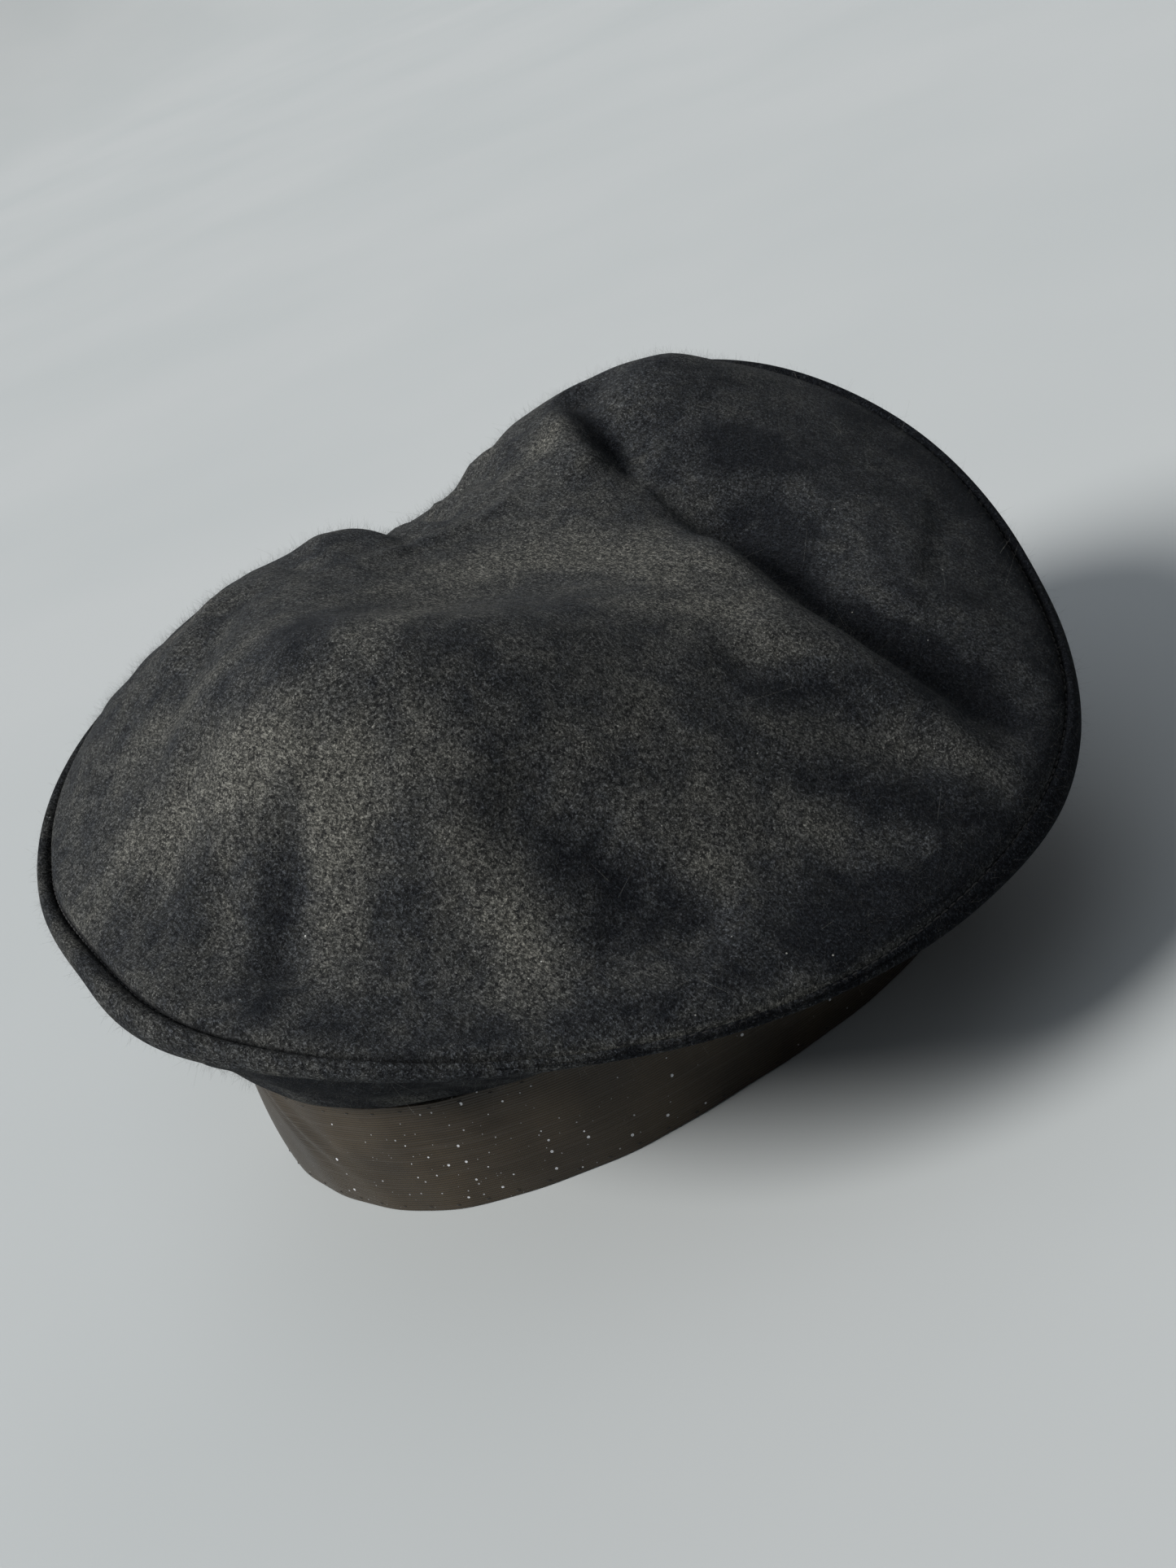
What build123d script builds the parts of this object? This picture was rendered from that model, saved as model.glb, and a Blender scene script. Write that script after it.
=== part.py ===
from build123d import *
import os
import numpy as np

# Two-panel wool beret with a ribbon headband.
# Millimetres.  +Z up, the wearer faces -Y, the wearer's left is +X.
# z = 0 is the lower edge of the headband, which is what the beret stands on.

# ---------------------------------------------------------------- dimensions
HEAD_X, HEAD_Y = 5.41, -1.15         # centre of the head opening
BAND_A, BAND_B = 81.5, 104.0        # headband outer half-width (X) and half-length (Y)
BAND_H = 30.5                       # height of the headband ribbon
RIBBON_T = 0.8                      # ribbon
STIFF_T = 0.8                       # buckram stay inside the ribbon
SWEAT_T = 0.8                       # petersham sweatband
SWEAT_H = 27.0
WOOL_T = 2.2                        # melton panels
CANVAS_T = 0.5                      # fusible canvas under the top panel
LINING_T = 0.5                      # lining satin
GAP = 0.3                           # air between neighbouring layers
TAIL_Z = 20.0                       # how far the crown's inner edge runs down behind the ribbon
ROLL_OUT = 5.0                      # the rim's roll stands out this far past the panel seam
ROLL_DROP = 5.0                     # and its widest line lies this far under it
UNDER_DROP = 11.5
SAG = 3.4                           # slack of the under panel

CROWN_X, CROWN_Y = HEAD_X - 18.9, HEAD_Y + 23.3      # centre of the round top panel
# seam of the two panels: radius and height about the crown centre, every 22.5 degrees from +X
SEAM_R = [137.8, 133.0, 122.4, 107.1, 103.5, 103.6, 104.8, 107.0,
          110.5, 117.4, 128.4, 136.6, 147.8, 146.8, 144.2, 140.5]
SEAM_Z = [96.3, 94.2, 83.6, 80.8, 79.4, 73.5, 65.5, 57.2,
          49.4, 47.4, 53.2, 65.4, 89.8, 112.9, 109.7, 96.7]
# heights of the top panel: (fraction of the seam radius, start step, heights round)
TOP_Z = [
    (0.00, 0.0, [113.5]),
    (0.30, 0.0, [120.0, 127.8, 131.9, 126.0, 115.5, 107.7, 107.2, 112.1]),
    (0.55, 0.5, [122.7, 116.2, 108.9, 100.5, 94.2, 90.8, 91.3, 95.1, 100.8, 112.4, 116.4, 121.8]),
    (0.76, 0.0, [117.6, 112.6, 102.1, 94.0, 86.6, 77.3, 71.7, 67.6,
                 66.2, 70.0, 78.4, 87.4, 100.9, 122.9, 118.6, 107.5]),
    (0.90, 0.0, [107.4, 104.3, 93.0, 87.3, 83.0, 74.9, 67.7, 61.2,
                 56.7, 58.6, 66.3, 77.6, 97.6, 122.6, 118.0, 103.4]),
]

os.makedirs("parts", exist_ok=True)
N = 36
TH = np.arange(N) * 2 * np.pi / N


def ring_value(values, th):
    """Smooth periodic curve through equally spaced values."""
    n = len(values)
    c = np.fft.rfft(values) / n
    out = np.full_like(np.asarray(th, float), c[0].real)
    for k in range(1, len(c)):
        w = 1.0 if (n % 2 == 0 and k == n // 2) else 2.0
        out = out + w * (c[k].real * np.cos(k * th) - c[k].imag * np.sin(k * th))
    return out


# thin plate through the top panel's heights, over the unit disc
_uv, _z = [], []
for f, o, hs in TOP_Z:
    for i, h in enumerate(hs):
        a = (i + o) * 2 * np.pi / len(hs)
        _uv.append((f * np.cos(a), f * np.sin(a)))
        _z.append(h)
for i, h in enumerate(SEAM_Z):
    a = i * 2 * np.pi / len(SEAM_Z)
    _uv.append((np.cos(a), np.sin(a)))
    _z.append(h)
_uv = np.array(_uv)
_z = np.array(_z)


def _kern(r):
    r = np.maximum(r, 1e-12)
    return r * r * np.log(r)


_n = len(_uv)
_A = np.zeros((_n + 3, _n + 3))
_A[:_n, :_n] = _kern(np.linalg.norm(_uv[:, None] - _uv[None], axis=-1)) + 2e-4 * np.eye(_n)
_A[:_n, _n:] = np.c_[np.ones(_n), _uv]
_A[_n:, :_n] = _A[:_n, _n:].T
_W = np.linalg.solve(_A, np.r_[_z, np.zeros(3)])


def top_height(u, v):
    p = np.stack([u, v], -1)
    k = _kern(np.linalg.norm(p[..., None, :] - _uv, axis=-1))
    return k @ _W[:_n] + _W[_n] + _W[_n + 1] * u + _W[_n + 2] * v


def oval(th, inset, z):
    """Point ring of the head oval, inset from the ribbon's outer face."""
    return np.stack([HEAD_X + (BAND_A - inset) * np.cos(th),
                     HEAD_Y + (BAND_B - inset) * np.sin(th),
                     np.full_like(th, z)], -1)


INS = RIBBON_T + GAP                # the crown's outer face at the band
r_seam = ring_value(SEAM_R, TH)
z_seam = ring_value(SEAM_Z, TH)
r_mean = float(np.mean(SEAM_R))
E = np.stack([np.cos(TH), np.sin(TH)], -1)
C0 = np.array([CROWN_X, CROWN_Y])


def top_ring(rho):
    r = rho * (r_mean + (r_seam - r_mean) * rho)
    xy = C0 + r[:, None] * E
    return np.c_[xy, top_height(rho * np.cos(TH), rho * np.sin(TH))]


def out_ring(dr, dz):
    return np.c_[C0 + (r_seam + dr)[:, None] * E, z_seam + dz]


seam = np.c_[C0 + r_seam[:, None] * E, z_seam]
edge = out_ring(ROLL_OUT, -ROLL_DROP)
und1 = out_ring(0.8, -UNDER_DROP)
band_top = oval(TH, INS, BAND_H)
sag = np.array([0, 0, -SAG])
und2 = 0.70 * und1 + 0.30 * band_top + 0.9 * sag
und3 = 0.40 * und1 + 0.60 * band_top + sag
und3[:, 2] = np.maximum(und3[:, 2], BAND_H + 3.4)
und2[:, 2] = np.maximum(und2[:, 2], BAND_H + 3.9)
turn = oval(TH, INS, BAND_H + 2.6)
turn[:, :2] += 0.10 * (und1 - band_top)[:, :2]
corner = oval(TH, INS - 0.3, BAND_H + 0.9)

RHO = [0.06, 0.16, 0.29, 0.42, 0.55, 0.67, 0.78, 0.87, 0.94]
SECT = [oval(TH, INS, TAIL_Z), oval(TH, INS, BAND_H - 3.0), corner, turn, und3, und2, und1, edge, seam]
SECT += [top_ring(r) for r in reversed(RHO)]
SECT = np.array(SECT)
K = len(SECT)

# outward normals of the crown surface at every section point
ds = np.gradient(SECT, axis=0)
dt = np.roll(SECT, -1, 1) - np.roll(SECT, 1, 1)
NRM = np.cross(dt, ds)
NRM /= np.linalg.norm(NRM, axis=-1, keepdims=True)
NRM[0] = NRM[1] = np.c_[E * [1 / BAND_A, 1 / BAND_B], np.zeros(N)]
NRM[:2] /= np.linalg.norm(NRM[:2], axis=-1, keepdims=True)
NRM[-1] = NRM[-1].mean(0) / np.linalg.norm(NRM[-1].mean(0))


def planar(ring):
    c = ring.mean(0)
    n = np.linalg.svd(ring - c)[2][2]
    return ring - ((ring - c) @ n)[:, None] * n


def skin_rings(inset, k0, k1, t0=0.0):
    """Section rings k0..k1 of the crown surface, inset by a distance."""
    rings = []
    for k in range(k0, k1 + 1):
        p, n = SECT[k], NRM[k]
        if k == k0 and t0 > 0:
            p = SECT[k] * (1 - t0) + SECT[k + 1] * t0
            n = NRM[k] * (1 - t0) + NRM[k + 1] * t0
            n = n / np.linalg.norm(n, axis=-1, keepdims=True)
        r = p - inset * n
        if k == 0:
            r = oval(TH, INS + inset, TAIL_Z)
        elif k == 1:
            r = oval(TH, INS + inset, BAND_H - 3.0)
        if k == K - 1:
            r = planar(r)
        rings.append(r)
    return rings


def facet(*pts):
    return Face(Wire.make_polygon([tuple(p) for p in pts], close=True))


def strips(ra, rb, flip=False):
    """Triangles between two rings of the same number of points."""
    out = []
    n = len(ra)
    for i in range(n):
        j = (i + 1) % n
        for t in ((ra[i], ra[j], rb[j]), (ra[i], rb[j], rb[i])):
            out.append(facet(*(t[::-1] if flip else t)))
    return out


def closed(faces):
    s = Solid(Shell(faces))
    return s


def shell_solid(inset0, inset1, k0, k1, t0=0.0):
    """Layer of cloth between two insets of the crown surface, from section k0 to k1."""
    ro, ri = skin_rings(inset0, k0, k1, t0), skin_rings(inset1, k0, k1, t0)
    faces = []
    for a, b in zip(ro[:-1], ro[1:]):
        faces += strips(a, b)
    for a, b in zip(ri[:-1], ri[1:]):
        faces += strips(a, b, True)
    faces += strips(ri[0], ro[0])
    if k1 == K - 1:
        faces += [facet(*ro[-1]), facet(*ri[-1][::-1])]
    else:
        faces += strips(ri[-1], ro[-1], True)
    return closed(faces)


def ring_band(*loops):
    """Closed ring whose section is the polygon with one corner on each closed curve."""
    faces = []
    for i in range(len(loops)):
        faces += strips(loops[i], loops[(i + 1) % len(loops)])
    return closed(faces)


def oval_ring(i0, i1, z0, z1, a0=None, a1=None):
    """Upright ring between two insets from the ribbon's outer face, whole or over an angle."""
    if a0 is None:
        o, n = oval(TH, i0, z0), oval(TH, i1, z0)
        f = Face(Wire.make_polygon([tuple(p) for p in o], close=True),
                 [Wire.make_polygon([tuple(p) for p in n], close=True)])
    else:
        th = np.radians(np.arange(a0, a1 + 1, 360 // N))
        o, n = oval(th, i0, z0), oval(th, i1, z0)
        f = Face(Wire.make_polygon([tuple(p) for p in np.concatenate([o, n[::-1]])], close=True))
    return Solid.extrude(f, Vector(0, 0, z1 - z0))


parts = {}
# ---------------------------------------------------------------- crown layers
d0, d1 = 0.0, WOOL_T
d2, d3 = d1 + GAP, d1 + GAP + CANVAS_T
d4, d5 = d3 + GAP, d3 + GAP + LINING_T
parts["crown_top_panel"] = shell_solid(d0, d1, 8, K - 1)
parts["crown_under_panel"] = shell_solid(d0, d1, 0, 8)
parts["top_interlining"] = shell_solid(d2, d3, 9, K - 1)
parts["lining_top"] = shell_solid(d4, d5, 8, K - 1)
parts["lining_side"] = shell_solid(d4, d5, 0, 8)


def along(k, t, inset):
    """Ring between section k and k+1, inset by a distance."""
    p = SECT[k] * (1 - t) + SECT[k + 1] * t
    n = NRM[k] * (1 - t) + NRM[k + 1] * t
    return p - inset * n


# stay tape sewn into the rim, between the wool and the lining
e0, e1 = d1 + 0.10, d1 + 0.70
parts["rim_stay_tape"] = ring_band(along(6, 0.6, e1), along(7, 0.0, e1), along(7, 0.7, e1),
                                   along(7, 0.7, e0), along(7, 0.0, e0), along(6, 0.6, e0))
# thread of the panel seam, lying in the groove of the seam
parts["rim_seam_thread"] = ring_band(along(7, 0.97, -0.55), along(8, 0.03, -0.55), along(8, 0.03, -0.08), along(7, 0.97, -0.08))

# ---------------------------------------------------------------- headband
i_tail = INS + d5                      # inner face of the lining's edge at the band
i_sw = i_tail + GAP                    # outer face of the sweatband
parts["headband_ribbon"] = oval_ring(0, RIBBON_T, 0, BAND_H - 0.6)
parts["headband_stay"] = oval_ring(INS, INS + STIFF_T, 1.4, TAIL_Z - 0.6)
foot = oval_ring(INS, i_sw + SWEAT_T, 0, 0.9)
wall = oval_ring(i_sw, i_sw + SWEAT_T, 0.9, SWEAT_H)
parts["sweatband"] = (foot + wall).solids()[0]
parts["headband_upper_stitching"] = oval_ring(-0.45, -0.05, BAND_H - 3.0, BAND_H - 2.5)
parts["headband_lower_stitching"] = oval_ring(-0.45, -0.05, 1.6, 2.1)
parts["sweatband_stitching"] = oval_ring(i_sw + SWEAT_T + 0.05, i_sw + SWEAT_T + 0.45, SWEAT_H - 2.4, SWEAT_H - 1.9)
i_lb = i_sw + SWEAT_T + 0.1
parts["size_label"] = oval_ring(i_lb, i_lb + 0.4, 4.5, 21.5, 80, 100)
parts["label_stitching"] = Compound([
    oval_ring(i_lb + 0.45, i_lb + 0.8, 5.4, 5.8, 80, 100),
    oval_ring(i_lb + 0.45, i_lb + 0.8, 20.2, 20.6, 80, 100)])
print("inner opening half-axes", BAND_A - i_sw - SWEAT_T, BAND_B - i_sw - SWEAT_T)

for k, v in parts.items():
    export_step(v, f"parts/{k}.step")
    bb = v.bounding_box()
    print(k, round(v.volume, 1), v.is_valid, len(v.faces()), [round(x, 1) for x in (*bb.min, *bb.max)])
lo = np.min([tuple(v.bounding_box().min) for v in parts.values()], axis=0)
hi = np.max([tuple(v.bounding_box().max) for v in parts.values()], axis=0)
print("box", lo.round(2), hi.round(2), "centre", ((lo + hi) / 2).round(3))
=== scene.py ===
import math
import bpy
import numpy as np
from mathutils import Matrix, Vector


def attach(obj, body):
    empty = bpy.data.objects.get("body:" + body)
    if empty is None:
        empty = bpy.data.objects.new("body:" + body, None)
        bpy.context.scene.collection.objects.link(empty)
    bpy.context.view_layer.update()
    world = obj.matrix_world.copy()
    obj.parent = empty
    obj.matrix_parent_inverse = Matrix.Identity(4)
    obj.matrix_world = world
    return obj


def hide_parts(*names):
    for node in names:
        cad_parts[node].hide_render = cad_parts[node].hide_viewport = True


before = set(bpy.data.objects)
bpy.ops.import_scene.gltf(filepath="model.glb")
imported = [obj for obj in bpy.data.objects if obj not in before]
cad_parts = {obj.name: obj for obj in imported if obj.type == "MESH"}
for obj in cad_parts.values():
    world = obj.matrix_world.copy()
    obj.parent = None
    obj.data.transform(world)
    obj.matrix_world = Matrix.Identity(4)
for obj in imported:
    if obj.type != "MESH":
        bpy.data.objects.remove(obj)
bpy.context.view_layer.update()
scene = bpy.context.scene
MM = 0.001
rng = np.random.default_rng(11)

# ---------------------------------------------------------------- the crown's shape (millimetres, as in the CAD)
HEAD_X, HEAD_Y = 5.41, -1.15
BAND_A, BAND_B, BAND_H = 81.5, 104.0, 30.5
CROWN_X, CROWN_Y = HEAD_X - 18.9, HEAD_Y + 23.3
SEAM_R = [137.8, 133.0, 122.4, 107.1, 103.5, 103.6, 104.8, 107.0,
          110.5, 117.4, 128.4, 136.6, 147.8, 146.8, 144.2, 140.5]
SEAM_Z = [96.3, 94.2, 83.6, 80.8, 79.4, 73.5, 65.5, 57.2,
          49.4, 47.4, 53.2, 65.4, 89.8, 112.9, 109.7, 96.7]
TOP_Z = [
    (0.00, 0.0, [113.5]),
    (0.30, 0.0, [120.0, 127.8, 131.9, 126.0, 115.5, 107.7, 107.2, 112.1]),
    (0.55, 0.5, [122.7, 116.2, 108.9, 100.5, 94.2, 90.8, 91.3, 95.1, 100.8, 112.4, 116.4, 121.8]),
    (0.76, 0.0, [117.6, 112.6, 102.1, 94.0, 86.6, 77.3, 71.7, 67.6,
                 66.2, 70.0, 78.4, 87.4, 100.9, 122.9, 118.6, 107.5]),
    (0.90, 0.0, [107.4, 104.3, 93.0, 87.3, 83.0, 74.9, 67.7, 61.2,
                 56.7, 58.6, 66.3, 77.6, 97.6, 122.6, 118.0, 103.4]),
]
ROLL = 5.6                         # how far the rim's roll stands out past the seam
# the roll's size round the rim, degrees and share: full at the nape and the wearer's left, tight on the near right
ROLL_SHARE = [(0, 0.9), (22, 0.85), (45, 0.75), (60, 0.85), (75, 0.95), (90, 0.98), (101, 0.78), (112, 0.58), (124, 0.47), (135, 0.38),
              (146, 0.27), (157, 0.22), (169, 0.22), (180, 0.27), (191, 0.40), (202, 0.50), (214, 0.62), (225, 0.54), (236, 0.42),
              (247, 0.45), (259, 0.55), (270, 0.68), (285, 0.8), (300, 0.9), (360, 0.9)]
# small corrections to the height of the rim, degrees and millimetres
RIM_DZ = [(0, 0.0), (262, 0.0), (276, 0.8), (290, 2.2), (303, 2.7), (311, 1.0), (319, -1.2), (327, -2.8), (335, -1.4), (344, 0.0), (360, 0.0)]
# how far the headband's lower edge swings out from its oval, degrees and millimetres
# where the seam's groove shows (1) and where the panel turns over it (0)
GROOVE = [(0, 1.0), (128, 1.0), (140, 0.7), (150, 0.3), (160, 0.0), (212, 0.0), (224, 0.5), (236, 1.0), (360, 1.0)]
# how clearly the seam is seen as a line: the depth of its groove and the strength of its painted shade
SEAM_LINE = [(0, 1.0), (128, 1.0), (140, 0.7), (150, 0.3), (160, 0.0), (212, 0.0), (224, 0.4), (236, 0.9), (250, 0.8), (262, 0.25),
             (275, 0.08), (322, 0.08), (345, 0.8), (360, 1.0)]
FLARE = [(0, 0.0), (40, 1.0), (60, 3.0), (68, 3.4), (76, 2.9), (84, 1.6), (92, 1.2), (100, 1.5), (108, 2.1), (116, 2.9),
         (124, 2.7), (132, 1.2), (140, 0.2), (148, 0.0), (156, -1.6), (164, -2.2), (172, -1.6), (180, -0.5), (188, 1.0),
         (196, 1.2), (204, 1.0), (215, 1.2), (228, 1.8), (240, 1.9), (252, 1.0), (268, 0.0), (360, 0.0)]


def round_table(table, th, width=5.0):
    """A table of (degrees, value) as a smooth periodic function."""
    xs, ys = zip(*table)
    fine = np.arange(0, 360, 0.5)
    v = np.interp(fine, xs, ys)
    k = np.exp(-(((np.arange(720) + 360) % 720 - 360) * 0.5 / width) ** 2)
    v = np.fft.irfft(np.fft.rfft(v) * np.fft.rfft(k / k.sum()), 720)
    return np.interp(np.degrees(th) % 360, np.r_[fine, 360], np.r_[v, v[0]])


def roll_share(th):
    return round_table(ROLL_SHARE, th)


def rim_dz(th):
    return round_table(RIM_DZ, th, 5.0)


def groove_share(th):
    """The seam's groove shows where the roll stands out, and lies under the edge on the near right."""
    return np.clip(round_table(GROOVE, th, 4.0), 0, 1)


def seam_line_share(th):
    return np.clip(round_table(SEAM_LINE, th, 4.0), 0, 1)


def ring_value(values, th):
    n = len(values)
    c = np.fft.rfft(values) / n
    out = np.full_like(np.asarray(th, float), c[0].real)
    for k in range(1, len(c)):
        w = 1.0 if (n % 2 == 0 and k == n // 2) else 2.0
        out = out + w * (c[k].real * np.cos(k * th) - c[k].imag * np.sin(k * th))
    return out


_uv, _z = [], []
for f, o, hs in TOP_Z:
    for i, h in enumerate(hs):
        a = (i + o) * 2 * np.pi / len(hs)
        _uv.append((f * np.cos(a), f * np.sin(a)))
        _z.append(h)
for i, h in enumerate(SEAM_Z):
    a = i * 2 * np.pi / 16
    _uv.append((np.cos(a), np.sin(a)))
    _z.append(h)
_uv, _z = np.array(_uv), np.array(_z)


def _kern(r):
    r = np.maximum(r, 1e-12)
    return r * r * np.log(r)


_n = len(_uv)
_A = np.zeros((_n + 3, _n + 3))
_rad = np.linalg.norm(_uv, axis=1)
_A[:_n, :_n] = _kern(np.linalg.norm(_uv[:, None] - _uv[None], axis=-1)) + np.diag(np.where(_rad < 0.6, 0.03, np.where(_rad < 0.8, 0.006, 2e-4)))
_A[:_n, _n:] = np.c_[np.ones(_n), _uv]
_A[_n:, :_n] = _A[:_n, _n:].T
_W = np.linalg.solve(_A, np.r_[_z, np.zeros(3)])


def top_height(u, v):
    p = np.stack([u, v], -1)
    out = np.empty(u.shape)
    for i in range(len(u)):                       # row by row keeps the memory small
        k = _kern(np.linalg.norm(p[i][:, None, :] - _uv, axis=-1))
        out[i] = k @ _W[:_n] + _W[_n] + _W[_n + 1] * u[i] + _W[_n + 2] * v[i]
    return out


R_MEAN = float(np.mean(SEAM_R))


def spline_matrix(xk, x):
    """Natural cubic spline through knots xk as a matrix acting on the knot values."""
    n = len(xk)
    h = np.diff(xk)
    A = np.zeros((n, n))
    B = np.zeros((n, n))
    A[0, 0] = A[-1, -1] = 1
    for i in range(1, n - 1):
        A[i, i - 1], A[i, i], A[i, i + 1] = h[i - 1], 2 * (h[i - 1] + h[i]), h[i]
        B[i, i - 1] = 6 / h[i - 1]
        B[i, i] = -6 / h[i - 1] - 6 / h[i]
        B[i, i + 1] = 6 / h[i]
    M = np.linalg.solve(A, B)
    j = np.clip(np.searchsorted(xk, x) - 1, 0, n - 2)
    t1, t0 = xk[j + 1] - x, x - xk[j]
    hj = h[j]
    E = np.eye(n)
    return (M[j] * (t1 ** 3 / (6 * hj) - hj * t1 / 6)[:, None] + M[j + 1] * (t0 ** 3 / (6 * hj) - hj * t0 / 6)[:, None]
            + E[j] * (t1 / hj)[:, None] + E[j + 1] * (t0 / hj)[:, None])


# ---------------------------------------------------------------- folds, in plan (millimetres)
def along_path(x, y, path):
    """Distance to a path in plan, which side of it, and how far along it, 0 to 1."""
    path = np.array(path, float)
    seg = np.diff(path, axis=0)
    ln = np.linalg.norm(seg, axis=1)
    cum = np.r_[0, np.cumsum(ln)]
    best = np.full(x.shape, 1e9)
    side = np.zeros(x.shape)
    tt = np.zeros(x.shape)
    for i in range(len(seg)):
        dx, dy = x - path[i, 0], y - path[i, 1]
        t = np.clip((dx * seg[i, 0] + dy * seg[i, 1]) / ln[i] ** 2, 0, 1)
        qx, qy = dx - t * seg[i, 0], dy - t * seg[i, 1]
        d = np.hypot(qx, qy)
        m = d < best
        best = np.where(m, d, best)
        side = np.where(m, seg[i, 0] * dy - seg[i, 1] * dx, side)
        tt = np.where(m, (cum[i] + t * ln[i]) / cum[-1], tt)
    return best, np.sign(side), tt


def ramp(t, stops):
    xs, ys = zip(*stops)
    return np.interp(t, xs, ys)


def soft(t):
    return t * t * (3 - 2 * t)


def fold(x, y, path, depth, w_left, w_right, stops=((0, 0), (0.15, 1), (0.85, 1), (1, 0)), power=2.0):
    """A trough (negative depth: a ridge) along a path, with its own width on each side."""
    d, s, t = along_path(x, y, path)
    w = np.where(s > 0, w_left, w_right)
    return -depth * ramp(t, stops) * np.exp(-(d / w) ** power)


def blob(x, y, cx, cy, r, a, ry=None, ang=0.0):
    ry = ry or r
    c, s = math.cos(math.radians(ang)), math.sin(math.radians(ang))
    dx, dy = x - cx, y - cy
    return a * np.exp(-(((dx * c + dy * s) / r) ** 2 + ((-dx * s + dy * c) / ry) ** 2))


VALLEY = [(4, -55), (-11, -54.5), (-24, -55.0), (-36, -54.0), (-49, -51.0), (-60.6, -47.5), (-71.7, -46.0),
          (-81, -46.2), (-89.7, -47.2), (-99.2, -49.0), (-107.5, -51.5), (-115, -54)]
SHOULDER = [(35.2, 15.8),(36.2, -5.9),(31.1, -23.7),(31.9, -39.3)]
LOBE_CREASE = [(-37.3, -110.8),(-52.4, -94.1),(-65., -77.3),(-73.9, -62.2)]
DENT = [(56, -76), (47.5, -71.5), (38, -67.5), (30.6, -64.2), (22, -60.5), (15, -57.5), (7, -55.5)]


def waves(x, y, seed, lo, hi, n):
    """Gentle unevenness of blocked cloth: a few plane waves, wavelengths lo to hi millimetres."""
    r = np.random.default_rng(seed)
    out = np.zeros(x.shape)
    for _ in range(n):
        lam = r.uniform(lo, hi)
        a = r.uniform(0, 2 * np.pi)
        out += np.sin(2 * np.pi / lam * (x * np.cos(a) + y * np.sin(a)) + r.uniform(0, 2 * np.pi)) * (lam / hi)
    return out / math.sqrt(n)


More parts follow.
